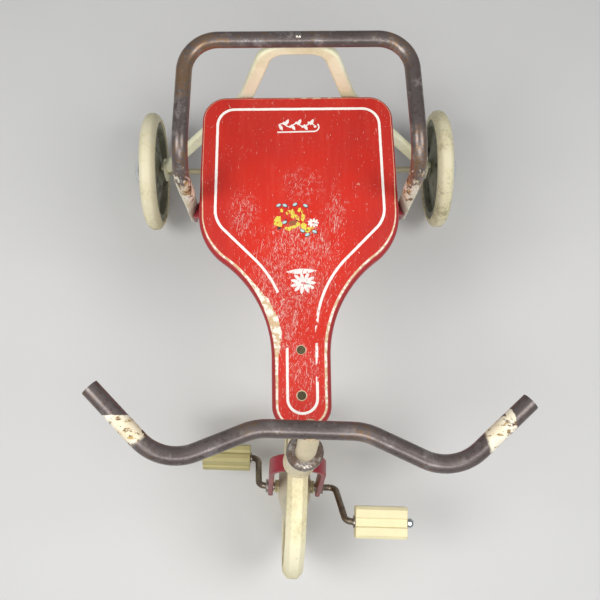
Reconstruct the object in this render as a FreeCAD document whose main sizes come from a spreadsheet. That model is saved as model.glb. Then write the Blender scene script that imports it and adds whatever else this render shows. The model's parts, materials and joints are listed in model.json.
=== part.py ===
import FreeCAD, Part
import math
import os
import re
import Sketcher
from FreeCAD import Placement, Rotation, Vector

# A children's tricycle: a painted board seat bolted on a steel tube frame, a bent handlebar and a
# raked strap fork round a direct-driven front wheel, a cream hoop that carries the back axle and
# holds up the rail round the seat, and three pressed disc wheels with solid tyres.
#
# Row frame, in millimetres: +Z up, -Y is the way it is ridden, +X is to the right when looking
# along +Y. The origin is on the floor under the middle of the bounding box.
# Lengths called *_back are measured backwards from the front axle, lengths called *_up from the floor.

DIMENSIONS = {
    # wheels and where they stand
    "wheelbase": 481.5,
    "front_radius": 125.0,
    "rear_radius": 90.0,
    "rear_track_half": 220.0,
    "front_tyre_half": 13.5,
    "rear_tyre_half": 12.0,
    "front_seat_radius": 100.0,
    "rear_seat_radius": 69.0,
    "rim_lip": 7.0,
    "sheet": 2.0,
    "tread_half_share": 0.48,
    "tyre_shoulder_drop": 8.0,
    "front_tread_round": 2.0,
    "front_shoulder_round": 3.0,
    "rear_tread_round": 8.0,
    "rear_shoulder_round": 9.0,
    # steering
    "crown_back": 34.3,
    "crown_up": 262.0,
    "steer_tilt_deg": 4.0,
    "steer_rest_deg": -2.5,
    "steer_lean_deg": 1.8,
    "steer_lean_up": 390.0,
    "stem_kink_up": 192.0,
    "stem_bend": 60.0,
    "stem_radius": 11.0,
    "stem_wall": 2.0,
    "head_tube_radius": 18.0,
    "head_tube_wall": 3.0,
    "head_low": 12.0,
    "head_high": 160.0,
    "ring_radius": 20.5,
    "running_gap": 0.05,
    # fork
    "fork_half": 33.5,
    "fork_width": 22.0,
    "fork_strap": 7.0,
    "fork_bend": 32.0,
    "fork_toe": 13.0,
    # handlebar
    "bar_radius": 9.3,
    "bar_wall": 1.6,
    "bar_back": 65.9,
    "bar_up": 530.0,
    "bar_flat_half": 53.0,
    "bar_dip_half": 141.0,
    "bar_dip_back": 28.0,
    "bar_dip_rise": 3.0,
    "bar_tip_half": 214.0,
    "bar_tip_back": 99.5,
    "bar_tip_rise": 8.0,
    "bar_flat_bend": 60.0,
    "bar_dip_bend": 50.0,
    # cranks and pedals
    "crank_rod": 4.5,
    "crank_throw": 69.0,
    "crank_rest_deg": 38.0,
    "crank_throw_left": 62.0,
    "crank_slide": 8.3,
    "crank_root": 58.0,
    "crank_knee": 69.0,
    "crank_root_left": 50.4,
    "crank_knee_left": 52.6,
    "crank_bend": 10.0,
    "pin_end": 150.0,
    "pedal_near": 73.0,
    "pedal_length": 70.0,
    "pedal_width": 42.0,
    "pedal_thick": 27.0,
    "pedal_corner": 4.0,
    "pedal_groove": 10.0,
    "pedal_groove_depth": 2.5,
    "pedal_left_rest_deg": 68.0,
    # seat board
    "seat_up": 325.0,
    "seat_thick": 15.0,
    "seat_back": 500.0,
    "seat_back_half": 122.5,
    "seat_corner": 31.0,
    "seat_side_half": 127.0,
    "seat_side_back": 345.0,
    "seat_shoulder_radius": 75.0,
    "seat_waist_radius": 150.0,
    "seat_neck_half": 36.5,
    "seat_nose_back": 72.0,
    "seat_nose_radius": 30.0,
    "seat_edge": 2.5,
    "seat_bolt_front": 114.0,
    "seat_bolt_rear": 170.0,
    # frame
    "main_tube_radius": 12.5,
    "main_tube_wall": 2.0,
    "main_tube_bend": 45.0,
    "strap": 4.0,
    "strap_width": 24.0,
    # hoop behind the seat
    "hoop_tilt_deg": 6.6,
    "hoop_wide": 18.0,
    "hoop_thick": 10.0,
    "hoop_round": 3.5,
    "hoop_top": 333.6,
    "hoop_top_half": 36.0,
    "hoop_waist": 221.0,
    "hoop_waist_half": 68.0,
    "hoop_foot": 12.0,
    "hoop_foot_half": 201.0,
    "hoop_top_bend": 30.0,
    "hoop_waist_bend": 70.0,
    "tab_width": 26.0,
    # rail round the seat
    "rail_radius": 9.4,
    "rail_wall": 1.6,
    "rail_up": 440.0,
    "rail_cross_back": 521.0,
    "rail_rear_half": 131.0,
    "rail_front_half": 139.0,
    "rail_leg_back": 366.0,
    "rail_corner_bend": 40.0,
    "rail_knee_bend": 45.0,
    "rail_round_end": 345.0,
    "rail_flat_start": 298.0,
    "rail_end_up": 254.0,
    "rail_tab_thick": 6.0,
    "rail_tab_width": 24.0,
    "rail_tab_turn_deg": 20.0,
    "bracket_width": 22.0,
    "bracket_drop": 25.0,
    # axle and hubs
    "axle_radius": 4.5,
    "axle_half": 243.0,
    "rear_hub_half": 14.0,
    "front_hub_half": 25.0,
    "hub_radius": 9.0,
}

doc = FreeCAD.newDocument("Tricycle")
sheet = doc.addObject("Spreadsheet::Sheet", "Dims")
for row, (alias, number) in enumerate(DIMENSIONS.items(), start=1):
    sheet.set(f"A{row}", alias)
    sheet.set(f"B{row}", str(number))
    sheet.setAlias(f"B{row}", alias)
doc.recompute()

EXPORTED = []


def bound(text):
    """An expression on the sheet's aliases, as another object has to write it."""
    return re.sub(r"[A-Za-z_]+", lambda word: "Dims." + word[0] if word[0] in DIMENSIONS else word[0],
                  str(text))


def value(text):
    """The number that such an expression gives now."""
    return float(sheet.evalExpression(str(text)))


FRONT_Y = -value("(wheelbase + rear_radius - front_radius) / 2")
REAR_Y = FRONT_Y + value("wheelbase")
FRONT_AXLE = Vector(0, FRONT_Y, value("front_radius"))
REAR_AXLE = Vector(0, REAR_Y, value("rear_radius"))


def back(text):
    """Row Y of a length measured backwards from the front axle."""
    return FRONT_Y + value(text)


X_AXIS, Z_AXIS = Vector(1, 0, 0), Vector(0, 0, 1)
# The steered assembly is drawn upright and straight ahead. LEAN tips it sideways with the head tube,
# and TURN then turns it about the steering axis to where it rests.
STEER_TILT = math.radians(value("steer_tilt_deg"))
UPRIGHT_AXIS = Vector(0, math.sin(STEER_TILT), math.cos(STEER_TILT))
UPRIGHT_POINT = Vector(0, back("crown_back"), value("crown_up"))
LEAN = Placement(Vector(), Rotation(Vector(0, 1, 0), value("steer_lean_deg")),
                 Vector(0, 0, value("steer_lean_up")))
STEER_AXIS = LEAN.Rotation.multVec(UPRIGHT_AXIS)
STEER_POINT = LEAN.multVec(UPRIGHT_POINT)
TURN = Placement(Vector(), Rotation(STEER_AXIS, value("steer_rest_deg")), STEER_POINT)
STEERED = TURN * LEAN
CRANK_TURN = Placement(FRONT_AXLE, Rotation(X_AXIS, value("crank_rest_deg")))


def keep(thing, placement=None):
    """Mark an object as a sub-part, and put it where it belongs."""
    if placement is not None:
        thing.Placement = placement
    EXPORTED.append(thing)
    return thing


def placed(thing, placement):
    thing.Placement = placement
    return thing


def steered(x, y, z):
    """A point of the steered assembly, as drawn, where it stands at rest."""
    return STEERED.multVec(Vector(x, y, z))


def labelled(kind, label, **properties):
    thing = doc.addObject(kind, label)
    thing.Label = label
    for name, setting in properties.items():
        setattr(thing, name, setting)
    return thing


# ---------------------------------------------------------------- sketches

def origin_item(body, role):
    return next(item for item in body.Origin.OriginFeatures if item.Role == role)


def new_sketch(body, role, name, offset=None):
    sketch = body.newObject("Sketcher::SketchObject", name)
    sketch.AttachmentSupport = [(origin_item(body, role), "")]
    sketch.MapMode = "FlatFace"
    if offset is not None:
        sketch.AttachmentOffset = Placement(Vector(0, 0, value(offset)), Rotation())
        sketch.setExpression("AttachmentOffset.Base.z", bound(offset))
    return sketch


def driven(sketch, text, *constraint):
    """Add a dimension whose value is an expression on the sheet."""
    index = sketch.addConstraint(Sketcher.Constraint(*constraint, value(text)))
    sketch.renameConstraint(index, f"size{index}")
    sketch.setExpression(f"Constraints.size{index}", bound(text))


def pinned(sketch, geometry, end, x_text, y_text):
    """Hold one point of the sketch at (x, y)."""
    if value(x_text) == 0:
        sketch.addConstraint(Sketcher.Constraint("PointOnObject", geometry, end, -2))
    else:
        driven(sketch, x_text, "DistanceX", -1, 1, geometry, end)
    if value(y_text) == 0:
        sketch.addConstraint(Sketcher.Constraint("PointOnObject", geometry, end, -1))
    else:
        driven(sketch, y_text, "DistanceY", -1, 1, geometry, end)


def polygon(sketch, corners):
    """A closed outline of straight lines through the corners, each given as two expressions."""
    places = [Vector(value(x), value(y), 0) for x, y in corners]
    lines = []
    for start, end in zip(places, places[1:] + places[:1]):
        lines.append(sketch.addGeometry(Part.LineSegment(start, end), False))
    for line, following in zip(lines, lines[1:] + lines[:1]):
        sketch.addConstraint(Sketcher.Constraint("Coincident", line, 2, following, 1))
    for line, (x, y) in zip(lines, corners):
        pinned(sketch, line, 1, x, y)


def circle(sketch, x, y, radius):
    ring = Part.Circle(Vector(value(x), value(y), 0), Z_AXIS, value(radius))
    index = sketch.addGeometry(ring, False)
    pinned(sketch, index, 3, x, y)
    driven(sketch, radius, "Radius", index)


def rounding(corner, towards_start, towards_end, radius):
    """Start, middle and end of the arc that rounds a corner between two straight runs."""
    before = (towards_start - corner).normalize()
    after = (towards_end - corner).normalize()
    half = before.getAngle(after) / 2
    middle = corner + (before + after).normalize() * (radius / math.sin(half) - radius)
    setback = radius / math.tan(half)
    return corner + before * setback, middle, corner + after * setback


def route(sketch, corners, radii):
    """Straight runs joined by tangent arcs, driven by their corner points and bend radii."""
    places = [Vector(value(x), value(y), 0) for x, y in corners]
    arcs = [rounding(places[i], places[i - 1], places[i + 1], value(radius))
            for i, radius in enumerate(radii, start=1)]
    starts = [places[0]] + [arc[2] for arc in arcs]
    ends = [arc[0] for arc in arcs] + [places[-1]]
    lines = [sketch.addGeometry(Part.LineSegment(a, b), False) for a, b in zip(starts, ends)]
    pinned(sketch, lines[0], 1, *corners[0])
    pinned(sketch, lines[-1], 2, *corners[-1])
    for i, (arc, radius) in enumerate(zip(arcs, radii)):
        bend = sketch.addGeometry(Part.Arc(*arc), False)
        first, last = (1, 2) if sketch.getPoint(bend, 1).distanceToPoint(arc[0]) < 1e-6 else (2, 1)
        sketch.addConstraint(Sketcher.Constraint("Tangent", lines[i], 2, bend, first))
        sketch.addConstraint(Sketcher.Constraint("Tangent", bend, last, lines[i + 1], 1))
        driven(sketch, radius, "Radius", bend)
        corner = sketch.addGeometry(Part.Point(places[i + 1]), True)
        sketch.addConstraint(Sketcher.Constraint("PointOnObject", corner, 1, lines[i]))
        sketch.addConstraint(Sketcher.Constraint("PointOnObject", corner, 1, lines[i + 1]))
        pinned(sketch, corner, 1, *corners[i + 1])


def round_bar_section(sketch, centre_up, across, tall, radius):
    """A rectangle with rounded corners, centred on the vertical axis at centre_up."""
    half, low, high = f"({across}) / 2", f"({centre_up}) - ({tall}) / 2", f"({centre_up}) + ({tall}) / 2"
    west, east, south, north = -value(half), value(half), value(low), value(high)
    bend = value(radius)
    runs = [((west + bend, south), (east - bend, south), "Horizontal"),
            ((east, south + bend), (east, north - bend), "Vertical"),
            ((east - bend, north), (west + bend, north), "Horizontal"),
            ((west, north - bend), (west, south + bend), "Vertical")]
    lines = []
    for start, end, direction in runs:
        lines.append(sketch.addGeometry(Part.LineSegment(Vector(*start, 0), Vector(*end, 0)), False))
        sketch.addConstraint(Sketcher.Constraint(direction, lines[-1]))
    corners = [(east, south), (east, north), (west, north), (west, south)]
    for i, corner in enumerate(corners):
        following = (i + 1) % 4
        arc = rounding(Vector(*corner, 0), Vector(*runs[i][0], 0), Vector(*runs[following][1], 0), bend)
        index = sketch.addGeometry(Part.Arc(*arc), False)
        first, last = (1, 2) if sketch.getPoint(index, 1).distanceToPoint(arc[0]) < 1e-6 else (2, 1)
        sketch.addConstraint(Sketcher.Constraint("Tangent", lines[i], 2, index, first))
        sketch.addConstraint(Sketcher.Constraint("Tangent", index, last, lines[following], 1))
        driven(sketch, radius, "Radius", index)
    driven(sketch, low, "DistanceY", -1, 1, lines[0], 1)
    driven(sketch, half, "DistanceX", -1, 1, lines[1], 1)
    driven(sketch, high, "DistanceY", -1, 1, lines[2], 1)
    driven(sketch, f"-({half})", "DistanceX", -1, 1, lines[3], 1)


# ---------------------------------------------------------------- features

def new_body(label):
    return labelled("PartDesign::Body", label)


def feature(body, kind, name, **properties):
    made = body.newObject("PartDesign::" + kind, name)
    for key, setting in properties.items():
        setattr(made, key, setting)
    return made


def pad(body, sketch, length, symmetric=False):
    made = feature(body, "Pad", "Pad", Profile=sketch)
    made.SideType = "Symmetric" if symmetric else "One side"
    made.setExpression("Length", bound(length))
    doc.recompute()
    return made


def through_pocket(body, sketch):
    """Cut the sketch right through, both ways from its plane."""
    made = feature(body, "Pocket", "Pocket", Profile=sketch, SideType="Symmetric", Type="Length")
    made.Length = 2000
    before = body.Shape.Volume
    doc.recompute()
    assert body.Shape.Volume < before - 1, f"{body.Label}: the pocket removed nothing"
    return made


def mirrored(body, features):
    made = feature(body, "Mirrored", "Mirrored", Originals=features)
    made.MirrorPlane = (origin_item(body, "YZ_Plane"), [""])
    body.Tip = made
    doc.recompute()
    return made


def rounded(body, chosen, radius):
    """Round the edges of the body's last feature that the test chooses."""
    doc.recompute()
    base = body.Tip
    names = [f"Edge{i}" for i, edge in enumerate(base.Shape.Edges, start=1) if chosen(edge)]
    assert names, f"{body.Label}: no edge to round"
    made = feature(body, "Fillet", "Fillet", Base=(base, names))
    made.setExpression("Radius", bound(radius))
    doc.recompute()
    return made


def turned(label, outline):
    """A body turned about its own X axis; the outline's points are (along the axis, radius)."""
    body = new_body(label)
    sketch = new_sketch(body, "XY_Plane", "Profile")
    polygon(sketch, outline)
    spun = feature(body, "Revolution", "Revolution", Profile=sketch, Angle=360)
    spun.ReferenceAxis = (sketch, ["H_Axis"])
    doc.recompute()
    return body


def ring(label, low, high, bore, radius):
    """A plain ring, washer, bush or short tube about X."""
    return turned(label, [(low, bore), (high, bore), (high, radius), (low, radius)])


def edge_at_radius(radius):
    """Test for a circular edge with this radius."""
    return lambda edge: isinstance(edge.Curve, Part.Circle) and abs(edge.Curve.Radius - value(radius)) < 0.01


def half_bar(label, corners, radii, across, tall, corner_radius):
    """A flat bar swept along a route in the XZ plane from X = 0."""
    body = new_body(label)
    path = new_sketch(body, "XZ_Plane", "Route")
    route(path, corners, radii)
    section = new_sketch(body, "YZ_Plane", "Section")
    round_bar_section(section, corners[0][1], across, tall, corner_radius)
    doc.recompute()
    pipe = feature(body, "AdditivePipe", "Bar", Profile=section, Spine=(path, []))
    pipe.Mode = "Standard"
    doc.recompute()
    return body, pipe


def bent_bar(label, corners, radii, across, tall, corner_radius, extra=None):
    """Such a bar and its mirror image as one piece."""
    body, pipe = half_bar(label, corners, radii, across, tall, corner_radius)
    halves = [pipe] + (extra(body) if extra else [])
    mirrored(body, halves)
    return body


def group(label, members):
    """Identical pieces that share one node, each a separate solid."""
    return keep(labelled("Part::Compound", label, Links=members))


def spine(label, corners, radii):
    """Wire of straight runs and tangent arcs through points in the row frame."""
    arcs = [rounding(corners[i], corners[i - 1], corners[i + 1], radius)
            for i, radius in enumerate(radii, start=1)]
    edges = []
    start = corners[0]
    for arc in arcs:
        edges.append(Part.LineSegment(start, arc[0]).toShape())
        edges.append(Part.Arc(*arc).toShape())
        start = arc[2]
    edges.append(Part.LineSegment(start, corners[-1]).toShape())
    return labelled("Part::Feature", label + "_route", Shape=Part.Wire(edges))


def swept(label, path, radius):
    """A round solid of this radius along a spine."""
    first = path.Shape.Edges[0]
    section = labelled("Part::Circle", label + "_section")
    section.setExpression("Radius", bound(radius))
    section.Placement = Placement(first.Vertexes[0].Point, Rotation(Z_AXIS, first.tangentAt(0)))
    doc.recompute()
    return labelled("Part::Sweep", label, Sections=[section], Spine=(path, []), Solid=True)


def cut(label, base, tool):
    return labelled("Part::Cut", label, Base=base, Tool=tool)


def rod(label, radius, length, placement):
    cylinder = labelled("Part::Cylinder", label)
    cylinder.setExpression("Radius", bound(radius))
    cylinder.setExpression("Height", bound(length))
    cylinder.Placement = placement
    return cylinder


# ---------------------------------------------------------------- wheels

def wheel_disc(label, half_text, tyre_seat, hub_flat):
    """One dished half of a pressed wheel: hub flat, cone, mid web, tyre seat and lip."""
    web = f"{tyre_seat} * 0.8"
    rim = f"{half_text} - 2"
    return turned(label, [
        (hub_flat, "hub_radius"), (hub_flat, "hub_radius + 9"), ("sheet", web),
        ("sheet", f"{tyre_seat} - sheet"),
        (rim, f"{tyre_seat} - sheet"), (rim, f"{tyre_seat} + rim_lip"),
        (f"{rim} - sheet", f"{tyre_seat} + rim_lip"), (f"{rim} - sheet", tyre_seat), ("0", tyre_seat),
        ("0", web), (f"{hub_flat} - sheet", "hub_radius + 9"), (f"{hub_flat} - sheet", "hub_radius")])


def tyre(label, end, half_text, tyre_seat):
    """A solid tyre: seat between the rim's lips, bulging sides, sloped shoulders and a flat tread."""
    radius_text = f"{end}_radius"
    inner = f"{half_text} - 2 - sheet"
    lip = f"{tyre_seat} + rim_lip"
    tread = f"{half_text} * tread_half_share"
    shoulder = f"{radius_text} - tyre_shoulder_drop"
    right = [(inner, tyre_seat), (inner, lip), (half_text, f"{lip} + 1.5"), (half_text, shoulder),
             (tread, radius_text)]
    left = [(f"-({x})", y) for x, y in reversed(right)]
    body = turned(label, right + left)
    rounded(body, edge_at_radius(radius_text), f"{end}_tread_round")
    rounded(body, edge_at_radius(shoulder), f"{end}_shoulder_round")
    return body


FRONT_WHEEL = STEERED * CRANK_TURN
HEAD = Placement(STEER_POINT, Rotation(X_AXIS, STEER_AXIS))
STEERED_HEAD = TURN * HEAD
FLIPPED = Placement(Vector(), Rotation(Z_AXIS, 180))


def both_sides(label, maker, base):
    """Two copies of a piece drawn for the +X side, as one group: right as drawn, left turned round."""
    return group(label, [placed(maker(f"{label}_{side}"), base * turn)
                         for side, turn in (("right", Placement()), ("left", FLIPPED))])


def hexagon(label, across_flats, bore, start, length):
    """A nut, or a bolt's head, about X; a bore of None leaves it solid."""
    body = new_body(label)
    sketch = new_sketch(body, "YZ_Plane", "Hexagon", start)
    corners = []
    for step in range(6):
        angle = math.radians(60 * step)
        reach = f"({across_flats}) / {math.sqrt(3):.6f}"
        corners.append((f"{reach} * {math.cos(angle):.6f}", f"{reach} * {math.sin(angle):.6f}"))
    polygon(sketch, corners)
    if bore is not None:
        circle(sketch, "0", "0", bore)
    pad(body, sketch, length)
    return body


def make_front_wheel():
    """The wheel turns with the cranks: tyre, two discs and a hub pinned to the crank rod."""
    size = ("front_tyre_half", "front_seat_radius")
    keep(tyre("front_tyre", "front", *size), FRONT_WHEEL)
    for side, turn in (("right", Placement()), ("left", FLIPPED)):
        keep(wheel_disc(f"front_wheel_disc_{side}", *size, "front_hub_half - 3"), FRONT_WHEEL * turn)
    pin_length = "2 * hub_radius + 5"
    pin_start = Vector(value("front_hub_half") - 1.6, 0, -value(pin_length) / 2)
    pin = keep(rod("front_hub_pin", "1.25", pin_length, FRONT_WHEEL * Placement(pin_start, Rotation())))
    hub = ring("front_hub_blank", "-front_hub_half", "front_hub_half", "crank_rod", "hub_radius")
    keep(cut("front_hub", placed(hub, FRONT_WHEEL), pin))
    keep(cut("crank_axle", placed(crank_rod(), FRONT_WHEEL), pin))
    both_sides("front_hub_washers",
               lambda label: ring(label, "front_hub_half + 0.2", "front_hub_half + 2.6", "crank_rod",
                                  "hub_radius"), FRONT_WHEEL)


def crank_rod():
    """One bent rod: left pedal pin, left crank, axle, right crank and right pedal pin."""
    body = new_body("crank_rod")
    path = new_sketch(body, "XZ_Plane", "Route")
    left = [("crank_slide - pin_end", "-crank_throw_left"), ("-crank_knee_left", "-crank_throw_left"),
            ("-crank_root_left", "0")]
    right = [("crank_root", "0"), ("crank_knee", "crank_throw"), ("crank_slide + pin_end", "crank_throw")]
    route(path, left + right, ["crank_bend"] * 4)
    section = new_sketch(body, "YZ_Plane", "Section", "crank_slide - pin_end")
    circle(section, "0", "-crank_throw_left", "crank_rod")
    doc.recompute()
    feature(body, "AdditivePipe", "Rod", Profile=section, Spine=(path, []))
    doc.recompute()
    return body


def pedal_block(label):
    """Four-lobed block: a groove along each broad face and a shallow one along each narrow face."""
    half, thick = "pedal_width / 2", "pedal_thick / 2"
    quarter = [(f"{half} - 2.2", "0"), (half, "3.5"), (half, f"{thick} - pedal_corner"),
               (f"{half} - pedal_corner", thick), ("pedal_groove / 2 + 1.5", thick),
               ("pedal_groove / 2", f"{thick} - pedal_groove_depth")]
    upper = quarter + [(f"-({y})", z) for y, z in reversed(quarter)]
    lower = [(y, f"-({z})") for y, z in reversed(upper[1:-1])]
    body = new_body(label)
    sketch = new_sketch(body, "YZ_Plane", "Section", "pedal_near")
    polygon(sketch, upper + lower)
    circle(sketch, "0", "0", "crank_rod + 2.5")
    pad(body, sketch, "pedal_length")
    ends = (value("pedal_near"), value("pedal_near + pedal_length"))

    def on_an_end(edge):
        flat = any(all(abs(v.Point.x - end) < 0.01 for v in edge.Vertexes) for end in ends)
        return flat and isinstance(edge.Curve, Part.Line)
    rounded(body, on_an_end, "1.2")
    return body


def make_pedals():
    slide = value("crank_slide")
    pins = {"right": Placement(Vector(slide, 0, value("crank_throw")), Rotation()),
            "left": Placement(Vector(slide, 0, -value("crank_throw_left")), Rotation())}
    for side, turn, rest in (("right", Placement(), "0"), ("left", FLIPPED, "pedal_left_rest_deg")):
        level = Placement(Vector(), Rotation(X_AXIS, -value("crank_rest_deg") + value(rest)))
        at = FRONT_WHEEL * pins[side] * level * turn
        keep(pedal_block(f"pedal_{side}"), at)
        keep(ring(f"pedal_{side}_sleeve", "pedal_near - 0.2", "pedal_near + pedal_length + 0.4",
                  "crank_rod + running_gap", "crank_rod + 2.5"), at)
    both_ends = [(pins["right"], "right"), (pins["left"] * FLIPPED, "left")]
    group("pedal_washers", [placed(ring(f"pedal_washer_{side}", "pedal_near - 2.2", "pedal_near - 0.8",
                                        "crank_rod", "8"), FRONT_WHEEL * end) for end, side in both_ends])
    group("pedal_nuts", [placed(cap_nut(f"pedal_nut_{side}"), FRONT_WHEEL * end)
                         for end, side in both_ends])


def cap_nut(label):
    start = "pedal_near + pedal_length + 1"
    return turned(label, [(start, "crank_rod"), ("pin_end + 0.2", "crank_rod"), ("pin_end + 0.2", "0"),
                          ("pin_end + 3.4", "0"), ("pin_end + 3.0", "3"), ("pin_end + 1.4", "5.6"),
                          ("pin_end - 1", "7"), (start, "7")])


# ---------------------------------------------------------------- steering

def handlebar_corners():
    half = [("bar_flat_half", "bar_back", "0"), ("bar_dip_half", "bar_dip_back", "bar_dip_rise"),
            ("bar_tip_half", "bar_tip_back", "bar_tip_rise")]
    right = [(value(x), back(y), value("bar_up") + value(z)) for x, y, z in half]
    left = [(-x, y, z) for x, y, z in reversed(right)]
    return [steered(*corner) for corner in left + right]


def make_steering():
    """Fork, crown bolt and race, stem with its ring, and the handlebar saddled on the stem."""
    leg = "sqrt(crown_back ^ 2 + (crown_up - front_radius) ^ 2)"
    lean = math.degrees(math.atan2(value("crown_back"), value("crown_up - front_radius")))
    fork_at = STEERED * Placement(FRONT_AXLE, Rotation(X_AXIS, -lean))
    fork = bent_bar("fork_blank", [("0", leg), ("fork_half", leg), ("fork_half", "-fork_toe")],
                    ["fork_bend"], "fork_width", "fork_strap", "2")
    holes = new_sketch(fork, "YZ_Plane", "BushHoles")
    circle(holes, "0", "0", "crank_rod + 2.5")
    through_pocket(fork, holes)
    placed(fork, fork_at)
    bolt = keep(turned("crown_bolt", [("-9.6", "0"), ("-9.6", "5.8"), ("-8.9", "6.5"), ("-4.8", "6.5"),
                                      ("-4.8", "4"), ("19", "4"), ("19", "0")]), STEERED_HEAD)
    keep(cut("fork", fork, bolt))
    bush = [("fork_half - 5", "crank_rod + running_gap"), ("fork_half + 7", "crank_rod + running_gap"),
            ("fork_half + 7", "8.5"), ("fork_half + 6", "9.5"),
            ("fork_half + fork_strap / 2 + 0.2", "9.5"),
            ("fork_half + fork_strap / 2 + 0.2", "crank_rod + 2.5"), ("fork_half - 5", "crank_rod + 2.5")]
    both_sides("fork_bushes", lambda label: turned(label, bush), fork_at)
    race = placed(turned("crown_race_blank", [("1", "stem_radius"), ("8", "stem_radius"), ("8", "17"),
                                              ("5", "18"), ("1", "15")]), STEERED_HEAD)
    keep(cut("crown_race", race, fork))

    bar_spine = spine("handlebar", handlebar_corners(),
                      [value(r) for r in ("bar_dip_bend", "bar_flat_bend", "bar_flat_bend", "bar_dip_bend")])
    bar_outside = swept("handlebar_outside", bar_spine, "bar_radius")
    keep(cut("handlebar", bar_outside, swept("handlebar_bore", bar_spine, "bar_radius - bar_wall")))

    kink = UPRIGHT_POINT + UPRIGHT_AXIS * value("stem_kink_up")
    top = Vector(0, back("bar_back"), value("bar_up"))
    stem_parts = []
    for name, start, radius in (("outside", 1, "stem_radius"), ("bore", 24, "stem_radius - stem_wall")):
        corners = [UPRIGHT_POINT + UPRIGHT_AXIS * start, kink, top]
        path = spine("stem_" + name, [STEERED.multVec(corner) for corner in corners], [value("stem_bend")])
        stem_parts.append(swept("stem_" + name, path, radius))
    stem = cut("stem_tube", *stem_parts)
    stem = cut("stem_on_crown", stem, fork)
    stem = cut("stem_drilled", stem, bolt)
    keep(cut("stem", stem, bar_outside))
    keep(turned("stem_ring", [("154", "head_tube_radius + 0.4"), ("160.4", "head_tube_radius + 0.4"),
                              ("160.4", "stem_radius"), ("168", "stem_radius"), ("168", "15"),
                              ("167", "18.3"), ("165", "20"), ("163", "ring_radius"),
                              ("154", "ring_radius")]), STEERED_HEAD)


# ---------------------------------------------------------------- seat

def seat_outline(body):
    """Half the board: back edge, corner, side, shoulder, waist, neck, nose and the centre line."""
    sketch = new_sketch(body, "XY_Plane", "HalfOutline")
    rear, nose = value("seat_back"), value("seat_nose_back")
    wide, side, side_y = value("seat_back_half"), value("seat_side_half"), value("seat_side_back")
    corner, shoulder, waist, nose_r = [value("seat_" + name) for name in
                                       ("corner", "shoulder_radius", "waist_radius", "nose_radius")]
    neck = value("seat_neck_half")
    swing = math.acos(1 - (side - neck) / (shoulder + waist))
    lean = math.atan2(side - wide, rear - corner - side_y)
    shoulder_centre = Vector(side - shoulder * math.cos(lean), side_y - shoulder * math.sin(lean), 0)
    waist_centre = shoulder_centre + Vector(math.cos(swing), -math.sin(swing), 0) * (shoulder + waist)
    waist_centre.x = neck + waist
    corner_centre = Vector(wide - corner * math.cos(lean), rear - corner, 0)
    nose_centre = Vector(neck - nose_r, nose + nose_r, 0)

    def arc(centre, radius, start, end):
        return Part.ArcOfCircle(Part.Circle(centre, Z_AXIS, radius), start, end)

    def on(centre, radius, angle):
        return centre + Vector(math.cos(angle), math.sin(angle), 0) * radius
    right_angle = math.pi / 2
    pieces = [
        Part.LineSegment(Vector(0, rear, 0), on(corner_centre, corner, right_angle)),
        arc(corner_centre, corner, lean, right_angle),
        Part.LineSegment(on(corner_centre, corner, lean), on(shoulder_centre, shoulder, lean)),
        arc(shoulder_centre, shoulder, -swing, lean),
        arc(waist_centre, waist, math.pi - swing, math.pi),
        Part.LineSegment(on(waist_centre, waist, math.pi), on(nose_centre, nose_r, 0)),
        arc(nose_centre, nose_r, -right_angle, 0),
        Part.LineSegment(on(nose_centre, nose_r, -right_angle), Vector(0, nose, 0)),
        Part.LineSegment(Vector(0, nose, 0), Vector(0, rear, 0)),
    ]
    back_edge, back_corner, side_line, front_shoulder, hollow, neck_line, nose_arc, nose_line, middle = \
        sketch.addGeometry(pieces, False)
    joints = [(back_edge, 2, back_corner, 2), (back_corner, 1, side_line, 1),
              (side_line, 2, front_shoulder, 2), (front_shoulder, 1, hollow, 1),
              (hollow, 2, neck_line, 1), (neck_line, 2, nose_arc, 2), (nose_arc, 1, nose_line, 1)]
    for joint in joints:
        sketch.addConstraint(Sketcher.Constraint("Tangent", *joint))
    sketch.addConstraint(Sketcher.Constraint("Coincident", nose_line, 2, middle, 1))
    sketch.addConstraint(Sketcher.Constraint("Coincident", middle, 2, back_edge, 1))
    for end in (1, 2):
        sketch.addConstraint(Sketcher.Constraint("PointOnObject", middle, end, -2))
    sketch.addConstraint(Sketcher.Constraint("Horizontal", back_edge))
    sketch.addConstraint(Sketcher.Constraint("Horizontal", nose_line))
    sketch.addConstraint(Sketcher.Constraint("Vertical", neck_line))
    for curve, radius in ((back_corner, "seat_corner"), (front_shoulder, "seat_shoulder_radius"),
                          (hollow, "seat_waist_radius"), (nose_arc, "seat_nose_radius")):
        driven(sketch, radius, "Radius", curve)
    driven(sketch, "seat_back", "DistanceY", -1, 1, back_edge, 1)
    driven(sketch, "seat_nose_back", "DistanceY", -1, 1, nose_line, 2)
    driven(sketch, "seat_side_half", "DistanceX", -1, 1, side_line, 2)
    driven(sketch, "seat_side_back", "DistanceY", -1, 1, side_line, 2)
    driven(sketch, "seat_back_half", "DistanceX", -1, 1, side_line, 1)
    driven(sketch, "seat_neck_half", "DistanceX", -1, 1, neck_line, 1)
    return sketch


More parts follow.
